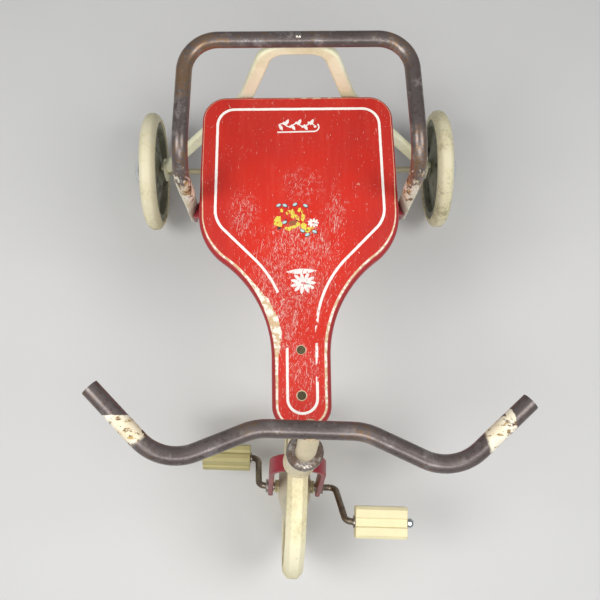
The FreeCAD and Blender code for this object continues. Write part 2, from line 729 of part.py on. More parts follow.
def make_seat():
    """The board and what holds it: two bolts through the neck and two screws at the back."""
    board = new_body("seat_blank")
    half = pad(board, seat_outline(board), "seat_thick")
    mirrored(board, [half])
    top, bottom = value("seat_thick"), 0.0
    rounded(board, lambda edge: all(abs(v.Point.z - top) < 0.01 for v in edge.Vertexes), "seat_edge")
    rounded(board, lambda edge: all(abs(v.Point.z - bottom) < 0.01 for v in edge.Vertexes), "seat_edge")
    placed(board, Placement(Vector(0, FRONT_Y, value("seat_up - seat_thick")), Rotation()))

    downwards = Rotation(X_AXIS, -Z_AXIS)
    bolt_length = "seat_thick + strap + 2 * main_tube_radius + 7"
    bolts, nuts = [], []
    for place in ("front", "rear"):
        head = Vector(0, back(f"seat_bolt_{place}"), value("seat_up") - 0.5)
        bolts.append(placed(turned(f"seat_bolt_{place}_piece", [
            ("0", "0"), ("0", "5"), ("0.6", "5.2"), ("3.3", "2.5"), (bolt_length, "2.5"),
            (bolt_length, "0")]), Placement(head, downwards)))
        under = head + Vector(0, 0, 0.5 - value("seat_thick + strap + 2 * main_tube_radius"))
        nuts.append(placed(hexagon(f"seat_nut_{place}", "8", "2.5", "0.1", "4"),
                           Placement(under, downwards)))
    seat_bolts = group("seat_bolts", bolts)
    group("seat_nuts", nuts)
    screws = group("seat_screws", [placed(turned(f"seat_screw_{side}", [
        ("-2.6", "0"), ("-2.4", "2.5"), ("-1.2", "4"), ("0", "4.2"), ("0", "2"), ("13", "2"),
        ("16", "0")]), Placement(Vector(sign * 45, back("seat_back - 11"), value(
            "seat_up - seat_thick - strap")), Rotation(X_AXIS, Z_AXIS)))
        for side, sign in (("left", -1), ("right", 1))])
    keep(cut("seat_board", cut("seat_bored", board, seat_bolts), screws))
    return seat_bolts, screws


# ---------------------------------------------------------------- frame

def plate(label, width, length, start_back):
    """A flat strap on top of the main tube, under the seat."""
    box = labelled("Part::Box", label)
    for name, text in (("Length", width), ("Width", length), ("Height", "strap")):
        box.setExpression(name, bound(text))
    doc.recompute()
    box.Placement.Base = Vector(-value(width) / 2, back(start_back),
                                value("seat_up - seat_thick - strap"))
    return box


def make_head():
    tube = keep(ring("head_tube", "head_low", "head_high", "head_tube_radius - head_tube_wall",
                     "head_tube_radius"), HEAD)
    ends = [("lower", "head_low", "head_low + 18"), ("upper", "head_high - 18", "head_high")]
    group("head_bushes", [placed(ring(f"head_bush_{name}", low, high, "stem_radius + running_gap",
                                      "head_tube_radius - head_tube_wall"), HEAD)
                          for name, low, high in ends])
    keep(turned("lower_head_cup", [("8.5", "stem_radius + 0.4"), ("head_low", "stem_radius + 0.4"),
                                   ("head_low", "head_tube_radius"), ("17", "head_tube_radius"),
                                   ("17", "19.5"), ("15.5", "ring_radius"), ("10.5", "ring_radius"),
                                   ("8.5", "18.5")]), HEAD)
    return tube


def make_frame(seat_bolts, screws):
    """Main tube from the head to the axle, with the straps under the seat and the axle sleeve."""
    make_head()
    level = value("seat_up - seat_thick - strap - main_tube_radius")
    head_y = STEER_POINT.y + (level - STEER_POINT.z) * math.tan(STEER_TILT)
    corners = [Vector(0, head_y + 6, level), Vector(0, REAR_Y, level), REAR_AXLE + Vector(0, 0, 4)]
    path = spine("main_tube", corners, [value("main_tube_bend")])
    tube = cut("main_tube_plain", swept("main_tube_outside", path, "main_tube_radius"),
               swept("main_tube_bore", path, "main_tube_radius - main_tube_wall"))
    head_space = rod("head_space", "head_tube_radius", "head_high", Placement(
        STEER_POINT, Rotation(Z_AXIS, STEER_AXIS)))
    tube = cut("main_tube_coped", tube, head_space)
    across = Rotation(Z_AXIS, X_AXIS)
    sleeve_space = rod("sleeve_space", "8", "120", Placement(REAR_AXLE - Vector(60, 0, 0), across))
    tube = cut("main_tube_seated", tube, sleeve_space)
    keep(cut("main_tube", tube, seat_bolts))
    keep(ring("axle_sleeve", "-60", "60", "axle_radius", "8"), Placement(REAR_AXLE, Rotation()))
    keep(cut("seat_front_plate", plate("front_strap", "strap_width", "100", "92"), seat_bolts))
    keep(cut("seat_rear_strap", plate("rear_strap", "150", "strap_width", "seat_back - 23"), screws))


def make_axle():
    keep(rod("rear_axle", "axle_radius", "2 * axle_half", Placement(
        REAR_AXLE - Vector(value("axle_half"), 0, 0), Rotation(Z_AXIS, X_AXIS))))
    outer, inner = "rear_track_half + rear_hub_half", "rear_track_half - rear_hub_half"
    rings = [("inner", f"{inner} - 2.6", f"{inner} - 0.6"), ("outer", f"{outer} + 0.6", f"{outer} + 2.2")]
    group("axle_washers", [
        placed(ring(f"axle_washer_{name}_{side}", low, high, "axle_radius", "9"),
               Placement(REAR_AXLE, Rotation()) * turn)
        for name, low, high in rings for side, turn in (("right", Placement()), ("left", FLIPPED))])
    both_sides("axle_nuts", lambda label: hexagon(label, "13", "axle_radius", f"{outer} + 2.3", "5.5"),
               Placement(REAR_AXLE, Rotation()))


def make_rear_wheels():
    size = ("rear_tyre_half", "rear_seat_radius")
    flat = "rear_hub_half - 3"
    cap = [(flat, "13"), (flat, "18"), ("11.6", "24"), ("13.5", "24.8"), ("18", "24"), ("22.5", "21.5"),
           ("26.5", "17"), ("29.2", "11.5"), ("30.6", "5.5"), ("31", "0"), ("29.8", "0"),
           ("29.4", "5.2"), ("28", "10.9"), ("25.5", "16"), ("21.8", "20.2"), ("17.6", "22.7"),
           ("13.8", "23.4"), ("12.8", "22.8"), ("12.2", "18"), ("12.2", "13")]
    for side, turn in (("right", Placement()), ("left", FLIPPED)):
        outwards = Placement(REAR_AXLE, Rotation()) * turn * Placement(
            Vector(value("rear_track_half"), 0, 0), Rotation())
        keep(tyre(f"rear_tyre_{side}", "rear", *size), outwards)
        keep(wheel_disc(f"rear_disc_outer_{side}", *size, flat), outwards)
        keep(wheel_disc(f"rear_disc_inner_{side}", *size, flat), outwards * FLIPPED)
        keep(ring(f"rear_hub_{side}", "-rear_hub_half", "rear_hub_half", "axle_radius + running_gap",
                  "hub_radius"), outwards)
        keep(turned(f"hub_cap_{side}", cap), outwards)


def make_hoop():
    """The cream hoop: one flat-oval bar from axle end to axle end, arched behind the seat."""
    def tabs(body):
        sketch = new_sketch(body, "YZ_Plane", "Tab", "hoop_foot_half - 2")
        half = "tab_width / 2"
        polygon(sketch, [(f"-({half})", "-6"), ("-8", "-12"), ("8", "-12"), (half, "-6"), (half, "20"),
                         (f"{half} - 5", "28"), (f"5 - {half}", "28"), (f"-({half})", "20")])
        return [pad(body, sketch, "strap")]
    corners = [("0", "hoop_top"), ("hoop_top_half", "hoop_top"), ("hoop_waist_half", "hoop_waist"),
               ("hoop_foot_half", "hoop_foot")]
    hoop = bent_bar("hoop_blank", corners, ["hoop_top_bend", "hoop_waist_bend"], "hoop_thick",
                    "hoop_wide", "hoop_round", extra=tabs)
    holes = new_sketch(hoop, "YZ_Plane", "AxleHoles")
    circle(holes, "0", "0", "axle_radius")
    through_pocket(hoop, holes)
    placed(hoop, Placement(REAR_AXLE, Rotation(X_AXIS, -value("hoop_tilt_deg"))))
    top = Vector(0, back("rail_cross_back"), value("rail_up + rail_radius"))
    bolt = keep(turned("rail_top_bolt", [("-2.6", "0"), ("-2.4", "2"), ("-1.5", "4"), ("0", "4.8"),
                                         ("0.4", "4.8"), ("0.4", "2"), ("32", "2"), ("32", "0")]),
                Placement(top, Rotation(X_AXIS, -Z_AXIS)))
    keep(cut("rear_hoop", hoop, bolt))
    return bolt


def make_rail(top_bolt):
    """The bent rail round the seat, its flattened leg ends bolted to a bracket under the frame."""
    leg_y, cross_y, up = back("rail_leg_back"), back("rail_cross_back"), value("rail_up")
    half = [(value("rail_front_half"), leg_y, value("rail_round_end")),
            (value("rail_front_half"), leg_y, up), (value("rail_rear_half"), cross_y, up)]
    corners = [Vector(*p) for p in half] + [Vector(-p[0], p[1], p[2]) for p in reversed(half)]
    knee, corner = value("rail_knee_bend"), value("rail_corner_bend")
    path = spine("rail", corners, [knee, corner, corner, knee])
    tube = cut("rail_tube", swept("rail_outside", path, "rail_radius"),
               swept("rail_bore", path, "rail_radius - rail_wall"))
    pieces = [tube]
    tab_turn = value("rail_tab_turn_deg")
    for side, sign in (("right", 1), ("left", -1)):
        sections = []
        for level, name in (("rail_round_end", "Round"), ("rail_flat_start", "Flat"),
                            ("rail_end_up", "End")):
            oval = labelled("Part::Ellipse", f"rail_{side}_{name}")
            flat = name != "Round"
            oval.setExpression("MajorRadius", bound("rail_tab_width / 2" if flat else "rail_radius"))
            oval.setExpression("MinorRadius", bound("rail_tab_thick / 2" if flat else "rail_radius"))
            oval.Placement = Placement(Vector(sign * value("rail_front_half"), leg_y, value(level)),
                                       Rotation(Z_AXIS, 90 + sign * tab_turn))
            sections.append(oval)
        doc.recompute()
        pieces.append(labelled("Part::Loft", f"rail_{side}_foot", Sections=sections, Solid=True,
                               Ruled=True))
    whole = labelled("Part::MultiFuse", "rail_whole", Shapes=pieces)

    # Two strap arms meet under the main tube; each runs out square to its leg's flattened end.
    bracket_up = value("seat_up - seat_thick - strap - 2 * main_tube_radius - strap / 2")
    tab_slope = math.radians(tab_turn)
    meeting = Vector(0, leg_y - value("rail_front_half") * math.tan(tab_slope), bracket_up)
    ear = f"rail_front_half / {math.cos(tab_slope):.6f} - rail_tab_thick / 2 - strap / 2 - 0.1"
    square = {"right": Rotation(Z_AXIS, tab_turn), "left": Rotation(Z_AXIS, 180 - tab_turn)}
    arms = []
    for side, facing in square.items():
        arm, _ = half_bar(f"bracket_{side}", [("0", "0"), (ear, "0"), (ear, "-bracket_drop")], ["6"],
                          "bracket_width", "strap", "1")
        arms.append(placed(arm, Placement(meeting, facing)))
    centre = rod("bracket_centre", "bracket_width / 2 + 1", "strap", Placement(
        meeting - Vector(0, 0, value("strap") / 2), Rotation()))
    bracket = labelled("Part::MultiFuse", "bracket_whole", Shapes=arms + [centre])

    face, bolt_up = "rail_tab_thick / 2", value("rail_end_up") + 13
    legs = [(side, Placement(Vector(sign * value("rail_front_half"), leg_y, bolt_up), square[side]))
            for side, sign in (("right", 1), ("left", -1))]
    bolts = group("rail_bolts", [placed(turned(f"rail_bolt_{side}", [
        (f"{face} - 19", "0"), (f"{face} - 19", "2.5"), (f"{face} + 0.2", "2.5"), (f"{face} + 0.2", "5"),
        (f"{face} + 1.8", "4.6"), (f"{face} + 3.2", "2.8"), (f"{face} + 3.6", "0")]), leg)
        for side, leg in legs])
    group("rail_nuts", [placed(hexagon(f"rail_nut_{side}", "8", "2.5", f"-({face}) - strap - 4.3", "4"), leg)
                        for side, leg in legs])
    keep(cut("seat_rail", cut("rail_drilled", whole, bolts), top_bolt))
    keep(cut("rail_bracket", bracket, bolts))


def export():
    """Check every object, then write each sub-part to its own file."""
    doc.recompute()
    for thing in doc.Objects:
        trouble = {"Invalid", "Error"} & set(thing.State)
        assert not trouble, f"{thing.Label}: {thing.State}"
    os.makedirs("parts", exist_ok=True)
    for thing in EXPORTED:
        shape = thing.Shape
        assert not shape.isNull() and shape.isValid() and shape.Solids, thing.Label
        shape.exportStep(f"parts/{thing.Label}.step")


make_front_wheel()
make_pedals()
make_steering()
SEAT_BOLTS, SEAT_SCREWS = make_seat()
make_frame(SEAT_BOLTS, SEAT_SCREWS)
make_axle()
make_rear_wheels()
make_rail(make_hoop())
export()
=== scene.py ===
import json
import math

import bmesh
import bpy
import numpy as np
from mathutils import Matrix, Vector
from mathutils.geometry import delaunay_2d_cdt


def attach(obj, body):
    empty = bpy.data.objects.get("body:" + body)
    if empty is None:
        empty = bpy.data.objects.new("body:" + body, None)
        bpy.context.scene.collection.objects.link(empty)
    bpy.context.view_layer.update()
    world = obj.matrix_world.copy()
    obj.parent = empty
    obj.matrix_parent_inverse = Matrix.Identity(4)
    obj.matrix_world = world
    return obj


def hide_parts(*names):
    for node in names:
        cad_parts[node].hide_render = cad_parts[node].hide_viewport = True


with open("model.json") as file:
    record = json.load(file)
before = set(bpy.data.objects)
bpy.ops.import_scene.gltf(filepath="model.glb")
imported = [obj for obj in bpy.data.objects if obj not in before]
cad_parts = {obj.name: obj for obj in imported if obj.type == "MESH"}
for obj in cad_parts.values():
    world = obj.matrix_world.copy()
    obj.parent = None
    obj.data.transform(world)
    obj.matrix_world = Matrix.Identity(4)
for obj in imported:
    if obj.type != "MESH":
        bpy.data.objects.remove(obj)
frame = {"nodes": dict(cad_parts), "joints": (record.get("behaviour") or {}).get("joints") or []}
for loaded in frame["nodes"].values():
    loaded.data.update()
bpy.context.view_layer.update()
nodes = frame["nodes"]

MM = 0.001
FRONT_AXLE_Y = -0.22325          # a length called back runs backwards from here, in mm
STEER = next(joint for joint in frame["joints"] if joint["name"] == "steer")
STEER_POINT = Vector(STEER["pos_m"])
STEER_AXIS = Vector(STEER["axis"])
STEER_REST = math.radians(-2.5)
STEER_LEAN = math.radians(1.8)
LEAN_PIVOT = Vector((0, 0, 0.39))
CAMERA_PLACE = (-0.0161, -0.18515, 1.37)
CAMERA_LENS = 51.42
CAMERA_PITCH, CAMERA_YAW, CAMERA_ROLL = 0.18361, 0.01493, -0.01456
LIT_MIDDLE = Vector((0, 0.02, 0.25))
WARM_WHITE, WHITE_LIGHT = (1, 0.985, 0.96), (1, 1, 1)
FLOOR_REACH = 14.0
FLOOR_LEVEL = -0.0005            # just under the tyres, so they don't share a plane with it


def steered(x, back, z):
    """A point of the steered assembly, given upright and straight ahead in mm, where it rests."""
    point = Vector((x * MM, FRONT_AXLE_Y + back * MM, z * MM))
    leaned = LEAN_PIVOT + Matrix.Rotation(STEER_LEAN, 3, "Y") @ (point - LEAN_PIVOT)
    return STEER_POINT + Matrix.Rotation(STEER_REST, 3, STEER_AXIS) @ (leaned - STEER_POINT)


# ---------------------------------------------------------------- stage

def make_camera():
    """The camera looks down at the object from in front; each turn is in radians."""
    level = math.cos(CAMERA_PITCH)
    look = Vector((math.sin(CAMERA_YAW) * level, math.sin(CAMERA_PITCH),
                   -level * math.cos(CAMERA_YAW))).normalized()
    right = look.cross(Vector((0, 1, 0))).normalized()
    up = right.cross(look)
    tilted_right = math.cos(CAMERA_ROLL) * right + math.sin(CAMERA_ROLL) * up
    tilted_up = math.cos(CAMERA_ROLL) * up - math.sin(CAMERA_ROLL) * right
    data = bpy.data.cameras.new("Camera")
    data.lens = CAMERA_LENS
    data.sensor_width = 36.0
    data.clip_start, data.clip_end = 0.02, 20.0
    data.dof.use_dof = False
    camera = bpy.data.objects.new("Camera", data)
    bpy.context.scene.collection.objects.link(camera)
    turn = Matrix((tilted_right, tilted_up, -look)).transposed()
    camera.matrix_world = Matrix.Translation(CAMERA_PLACE) @ turn.to_4x4()
    bpy.context.scene.camera = camera


def area_light(name, place, size, power, colour):
    """A rectangular lamp aimed at the middle of the object."""
    data = bpy.data.lights.new(name, "AREA")
    data.shape = "RECTANGLE"
    data.size, data.size_y = size
    data.energy = power
    data.color = colour
    light = bpy.data.objects.new(name, data)
    bpy.context.scene.collection.objects.link(light)
    light.location = place
    light.rotation_mode = "QUATERNION"
    light.rotation_quaternion = (LIT_MIDDLE - Vector(place)).to_track_quat("-Z", "Y")


def make_stage():
    """A pale floor, a dim even sky and three soft lamps."""
    bpy.context.scene.view_settings.view_transform = "Standard"
    world = bpy.data.worlds.new("Studio")
    bpy.context.scene.world = world
    world.use_nodes = True
    background = world.node_tree.nodes["Background"]
    background.inputs["Color"].default_value = (0.93, 0.96, 1.0, 1)
    background.inputs["Strength"].default_value = 0.22
    area_light("KeyLeft", (-0.95, -0.25, 1.75), (0.7, 0.9), 17, WARM_WHITE)
    area_light("KeyRight", (0.95, -0.20, 1.75), (0.7, 0.9), 14.5, WARM_WHITE)
    area_light("Front", (0.0, -1.15, 1.85), (1.2, 0.5), 12, WHITE_LIGHT)

    floor_mesh = bpy.data.meshes.new("Floor")
    corners = [(x * FLOOR_REACH, y * FLOOR_REACH, FLOOR_LEVEL)
               for x, y in ((-1, -1), (1, -1), (1, 1), (-1, 1))]
    floor_mesh.from_pydata(corners, [], [(0, 1, 2, 3)])
    floor = bpy.data.objects.new("Floor", floor_mesh)
    bpy.context.scene.collection.objects.link(floor)
    shader = Shader("Floor")
    grain = shader.noise(6, detail=4)
    shader.surface(shader.mix(grain, (0.66, 0.66, 0.655), (0.70, 0.70, 0.695)), roughness=0.85)
    floor_mesh.materials.append(shader.material)


# ---------------------------------------------------------------- shader helper

MIX_INPUTS, MIX_OUTPUT = (0, 6, 7), 2      # the Mix node's sockets for colours


class Shader:
    """One material's node tree. Values are sockets, numbers or colours; lengths are metres."""

    def __init__(self, name):
        self.material = bpy.data.materials.new(name)
        self.material.use_nodes = True
        self.tree = self.material.node_tree
        self.tree.nodes.clear()
        self.place = self.node("ShaderNodeTexCoord").outputs["Object"]
        self.apart = None
        self.seed = 0.0

    def node(self, kind, **settings):
        made = self.tree.nodes.new(kind)
        for key, setting in settings.items():
            setattr(made, key, setting)
        return made

    def feed(self, socket, value):
        if isinstance(value, bpy.types.NodeSocket):
            self.tree.links.new(value, socket)
        elif isinstance(value, tuple) and len(value) == 3 and socket.type == "RGBA":
            socket.default_value = (*value, 1)
        else:
            socket.default_value = value

    def math(self, operation, a, b=0.0):
        made = self.node("ShaderNodeMath", operation=operation)
        self.feed(made.inputs[0], a)
        self.feed(made.inputs[1], b)
        return made.outputs[0]

    def add(self, *values):
        total = values[0]
        for value in values[1:]:
            total = self.math("ADD", total, value)
        return total

    def mul(self, *values):
        total = values[0]
        for value in values[1:]:
            total = self.math("MULTIPLY", total, value)
        return total

    def less(self, a, b):
        """a less b."""
        return self.math("SUBTRACT", a, b)

    def both(self, a, b):
        return self.math("MINIMUM", a, b)

    def either(self, a, b):
        return self.math("MAXIMUM", a, b)

    def invert(self, a):
        return self.math("SUBTRACT", 1.0, a)

    def step(self, value, low, high, start=0.0, end=1.0):
        """A smooth step from start, at low, to end, at high."""
        made = self.node("ShaderNodeMapRange", interpolation_type="SMOOTHSTEP")
        for socket, setting in zip(made.inputs, (value, low, high, start, end)):
            self.feed(socket, setting)
        return made.outputs[0]

    def axis(self, letter):
        """One object coordinate."""
        if self.apart is None:
            self.apart = self.node("ShaderNodeSeparateXYZ")
            self.feed(self.apart.inputs[0], self.place)
        return self.apart.outputs[letter]

    def mapped(self, turn=(0, 0, 0), scale=(1, 1, 1), place=None):
        """Coordinates scaled and then turned."""
        made = self.node("ShaderNodeMapping")
        self.feed(made.inputs["Vector"], place or self.place)
        made.inputs["Rotation"].default_value = turn
        made.inputs["Scale"].default_value = scale
        return made.outputs[0]

    def noise(self, scale, detail=2.0, rough=0.5, place=None):
        """Noise from 0 to 1 about 0.5, different at every call."""
        self.seed += 3.71
        made = self.node("ShaderNodeTexNoise", noise_dimensions="4D")
        self.feed(made.inputs["Vector"], place or self.place)
        for name, value in (("W", self.seed), ("Scale", scale), ("Detail", detail),
                            ("Roughness", rough)):
            made.inputs[name].default_value = value
        return made.outputs["Fac"]

    def attribute(self, name):
        return self.node("ShaderNodeAttribute", attribute_name=name).outputs["Fac"]

    def mix(self, amount, a, b):
        """Colour a, turning into colour b as the amount goes from 0 to 1."""
        made = self.node("ShaderNodeMix", data_type="RGBA")
        for index, value in zip(MIX_INPUTS, (amount, a, b)):
            self.feed(made.inputs[index], value)
        return made.outputs[MIX_OUTPUT]

    def edges(self, radius, low=0.02, high=0.16):
        """1 along convex and concave edges, from the difference a bevel of this radius makes."""
        bevel = self.node("ShaderNodeBevel", samples=4)
        bevel.inputs["Radius"].default_value = radius
        normal = self.node("ShaderNodeNewGeometry").outputs["Normal"]
        dot = self.node("ShaderNodeVectorMath", operation="DOT_PRODUCT")
        self.feed(dot.inputs[0], bevel.outputs[0])
        self.feed(dot.inputs[1], normal)
        return self.step(self.invert(dot.outputs["Value"]), low, high)

    def near(self, point, reach, soft):
        """1 within reach of a point, falling to 0 at soft."""
        made = self.node("ShaderNodeVectorMath", operation="DISTANCE")
        self.feed(made.inputs[0], self.place)
        made.inputs[1].default_value = point
        return self.step(made.outputs["Value"], reach, soft, 1.0, 0.0)

    def along(self, point, direction):
        """Distance from the point along the direction."""
        away = self.node("ShaderNodeVectorMath", operation="SUBTRACT")
        self.feed(away.inputs[0], self.place)
        away.inputs[1].default_value = point
        made = self.node("ShaderNodeVectorMath", operation="DOT_PRODUCT")
        self.feed(made.inputs[0], away.outputs[0])
        made.inputs[1].default_value = direction
        return made.outputs["Value"]

    def surface(self, colour, roughness, metallic=0.0, bump=None, depth=0.0):
        """Join a finished surface to the output; the bump's depth is in metres."""
        bsdf = self.node("ShaderNodeBsdfPrincipled")
        self.feed(bsdf.inputs["Base Color"], colour)
        self.feed(bsdf.inputs["Roughness"], roughness)
        self.feed(bsdf.inputs["Metallic"], metallic)
        if bump is not None:
            relief = self.node("ShaderNodeBump")
            relief.inputs["Strength"].default_value = 1.0
            relief.inputs["Distance"].default_value = depth
            self.feed(relief.inputs["Height"], bump)
            self.feed(bsdf.inputs["Normal"], relief.outputs[0])
        out = self.node("ShaderNodeOutputMaterial")
        self.tree.links.new(bsdf.outputs[0], out.inputs[0])
        return self.material


# ---------------------------------------------------------------- materials

GRIME, RUST_DARK, RUST_PALE = (0.23, 0.19, 0.11), (0.10, 0.045, 0.02), (0.26, 0.13, 0.055)
DARK_PAINT, PALE_PAINT = (0.105, 0.084, 0.080), (0.165, 0.138, 0.132)
# The pale lilac-grey is for worn patches on the brown tubes, and is partly painted sheen.
RUBBED_PAINT_AND_SHEEN = (0.36, 0.33, 0.33)
OLD_CREAM, OLD_OCHRE = (0.88, 0.84, 0.72), (0.70, 0.58, 0.38)


def tinted(colour, *shares):
    """A colour with each channel multiplied by its share, or all three by the one share."""
    return tuple(c * k for c, k in zip(colour, shares if len(shares) == 3 else shares * 3))


def worn_cream(name, base, dirt, rust, edge=0.0012):
    """Aged cream enamel: yellowed, dirty in broad patches, rusty in pits and along its edges."""
    s = Shader(name)
    broad = s.noise(14, detail=4)
    fine = s.noise(160, detail=4, rough=0.6)
    colour = s.mix(s.step(broad, 0.35, 0.7), base, tinted(base, 0.90, 0.86, 0.74))
    grime = s.mul(s.step(s.add(broad, s.mul(fine, 0.5)), 0.66, 1.0), dirt)
    colour = s.mix(grime, colour, GRIME)
    specks = s.step(s.noise(420, detail=2), 0.70, 0.76)
    pits = s.mul(specks, s.step(s.noise(30, detail=2), 0.42, 0.62))
    chipped = s.step(s.add(s.edges(edge), s.mul(s.less(fine, 0.5), 1.6)), 0.62, 0.80)
    bare = s.mul(s.either(pits, chipped), rust)
    metal = s.mix(s.noise(300, detail=3), RUST_DARK, RUST_PALE)
    colour = s.mix(bare, colour, metal)
    height = s.add(s.mul(s.invert(bare), 1.0), s.mul(fine, 0.35))
    roughness = s.step(bare, 0, 1, 0.42, 0.85)
    return s.surface(colour, roughness, bump=height, depth=0.00018)


def brown_tube(name, bands, rubbing_and_sheen=0.35, rusting=0.72):
    """Dark brown enamel on tube, worn pale in patches and rusted.

    bands(s, broad, fine) gives where old cream paint is left and where that is cracked. A larger
    pale share gives more pale patches, partly paint worn thin and partly painted sheen; rusting is
    the noise level that ochre rust starts at, so a lower one gives more of it.
    """
    s = Shader(name)
    broad = s.noise(22, detail=4)
    fine = s.noise(240, detail=4, rough=0.62)
    colour = s.mix(s.step(broad, 0.3, 0.7), DARK_PAINT, PALE_PAINT)
    colour = s.mix(s.mul(s.step(fine, 0.50, 0.66), 0.5), colour, (0.046, 0.032, 0.026))
    # Pale lilac-grey patches: partly paint worn thin, partly painted sheen.
    rubbed_and_sheen = s.step(s.noise(75, detail=5, rough=0.7), 0.52, 0.68)
    colour = s.mix(s.mul(rubbed_and_sheen, rubbing_and_sheen), colour, RUBBED_PAINT_AND_SHEEN)
    rusted = s.step(s.add(s.mul(broad, 0.7), s.mul(fine, 0.6)), rusting, rusting + 0.14)
    ochre = s.mul(rusted, 0.55)
    colour = s.mix(ochre, colour, (0.30, 0.165, 0.065))
    spots = s.mul(s.step(s.noise(130, detail=3), 0.66, 0.72), s.step(s.noise(18), 0.55, 0.7))
    colour = s.mix(s.mul(spots, 0.8), colour, (0.62, 0.50, 0.36))
    metal = s.step(broad, 0.2, 0.8, 0.30, 0.55)
    cream, crack = bands(s, broad, fine)
    paint = s.mix(s.step(s.noise(40, detail=3), 0.3, 0.7), OLD_CREAM, OLD_OCHRE)
    rust = s.mix(s.step(s.noise(170, detail=3), 0.40, 0.60), (0.075, 0.038, 0.022),
                 (0.50, 0.32, 0.11))
    paint = s.mix(crack, paint, rust)
    colour = s.mix(cream, colour, paint)
    height = s.add(s.mul(cream, s.invert(crack), 1.2), s.mul(fine, 0.5))
    roughness = s.step(cream, 0, 1, 0.33, 0.62)
    metallic = s.mul(metal, s.invert(cream))
    return s.surface(colour, roughness, metallic, bump=height, depth=0.00022)


BAR_TIP = {side: steered(side * 214, 99.5, 538) for side in (-1, 1)}
BAR_DIP = {side: steered(side * 141, 28, 533) for side in (-1, 1)}
# For each end of the bar: where the cream starts and ends along it, in metres from its tip, how far
# each boundary slants over the tube's width, and the farthest that it reaches.
GRIP_BANDS = ((-1, 0.037, 0.97, 0.071, 0.1, 0.090), (1, 0.024, -0.55, 0.058, -0.55, 0.078))
SHARP, SOFT = 0.0006, 0.0022


def grip_paint(s, broad, fine):
    """Cream paint left on the two bar ends where the grips stopped."""
    bands = []
    for side, start, start_slant, end, end_slant, reach in GRIP_BANDS:
        inward = (BAR_DIP[side] - BAR_TIP[side]).normalized()
        across = s.along(BAR_TIP[side], Vector((-inward.y, inward.x, 0)) * side)
        run = s.add(s.along(BAR_TIP[side], inward), s.mul(s.less(broad, 0.5), 0.012),
                    s.mul(s.less(fine, 0.5), 0.004))
        past_start = s.step(s.add(run, s.mul(across, start_slant)), start - SHARP, start + SHARP)
        before_end = s.step(s.add(run, s.mul(across, end_slant)), end - SOFT, end + SOFT, 1.0, 0.0)
        inside = s.both(past_start, before_end)
        bands.append(s.mul(inside, s.near(BAR_TIP[side], reach, reach + 0.002)))
    cream = s.either(*bands)
    flaked = s.noise(130, detail=5, rough=0.66, place=s.mapped(scale=(1, 1.8, 1)))
    return cream, s.step(flaked, 0.535, 0.575)


def leg_paint(s, broad, fine):
    """Cream paint left low on the rail's legs; the heights are in metres."""
    streak = s.noise(1.0, detail=4, rough=0.6, place=s.mapped(scale=(290, 290, 55)))
    height = s.axis("Z")
    level = s.add(height, s.mul(s.less(streak, 0.5), 0.24), s.mul(s.less(broad, 0.5), 0.06))
    cream = s.mul(s.step(level, 0.400, 0.410, 1.0, 0.0), s.step(height, 0.425, 0.432, 1.0, 0.0))
    flaked = s.noise(150, detail=5, rough=0.66, place=s.mapped(scale=(1, 1, 0.4)))
    worn = s.step(s.add(flaked, s.mul(s.less(height, 0.31), 0.85)), 0.555, 0.60)
    return cream, worn


def solid_tyre(name, base, dirt):
    """Old cream solid rubber: matt, fine-grained, browned and scuffed in patches."""
    s = Shader(name)
    broad = s.noise(18, detail=5, rough=0.6)
    fine = s.noise(260, detail=4, rough=0.65)
    colour = s.mix(s.step(broad, 0.35, 0.68), base, tinted(base, 0.93, 0.89, 0.76))
    grime = s.mul(s.step(s.add(s.mul(broad, 0.8), s.mul(fine, 0.5)), 0.62, 0.86), dirt)
    colour = s.mix(grime, colour, (0.27, 0.24, 0.14))
    marks = s.mul(s.step(s.noise(70, detail=4), 0.64, 0.72), 0.35)
    colour = s.mix(marks, colour, (0.36, 0.30, 0.18))
    return s.surface(colour, 0.72, bump=s.add(fine, s.mul(broad, 0.5)), depth=0.00025)


def disc_dirt_and_shade(name, light, dark, stain_and_shade):
    """A rear wheel's dished face: cream gone grey-green with oily dirt and dark stains; the darker,
    more stained version used for the inner faces is partly painted shade.
    """
    s = Shader(name)
    broad = s.noise(20, detail=5, rough=0.6)
    fine = s.noise(200, detail=4, rough=0.62)
    colour = s.mix(s.step(broad, 0.3, 0.7), light, dark)
    stained = s.mul(s.step(s.noise(55, detail=5), 0.54, 0.66), stain_and_shade)
    colour = s.mix(stained, colour, (0.045, 0.042, 0.032))
    chips = s.mul(s.step(fine, 0.62, 0.70), s.step(broad, 0.45, 0.6))
    colour = s.mix(s.mul(chips, 0.7), colour, (0.12, 0.06, 0.03))
    return s.surface(colour, 0.6, bump=s.less(fine, chips), depth=0.0002)


def dark_red(name):
    """Crimson enamel gone dull, scratched through to dark steel along its edges."""
    s = Shader(name)
    broad = s.noise(35, detail=4)
    fine = s.noise(260, detail=4, rough=0.6)
    colour = s.mix(s.step(broad, 0.3, 0.7), (0.33, 0.030, 0.040), (0.24, 0.024, 0.034))
    colour = s.mix(s.mul(s.step(fine, 0.58, 0.70), 0.35), colour, (0.10, 0.018, 0.02))
    bare = s.step(s.add(s.edges(0.0012), s.mul(s.less(fine, 0.5), 1.7)), 0.70, 0.92)
    colour = s.mix(s.mul(bare, 0.75), colour, (0.16, 0.10, 0.075))
    height = s.add(s.mul(fine, 0.4), s.invert(bare))
    return s.surface(colour, s.step(bare, 0, 1, 0.34, 0.6), bump=height, depth=0.00015)


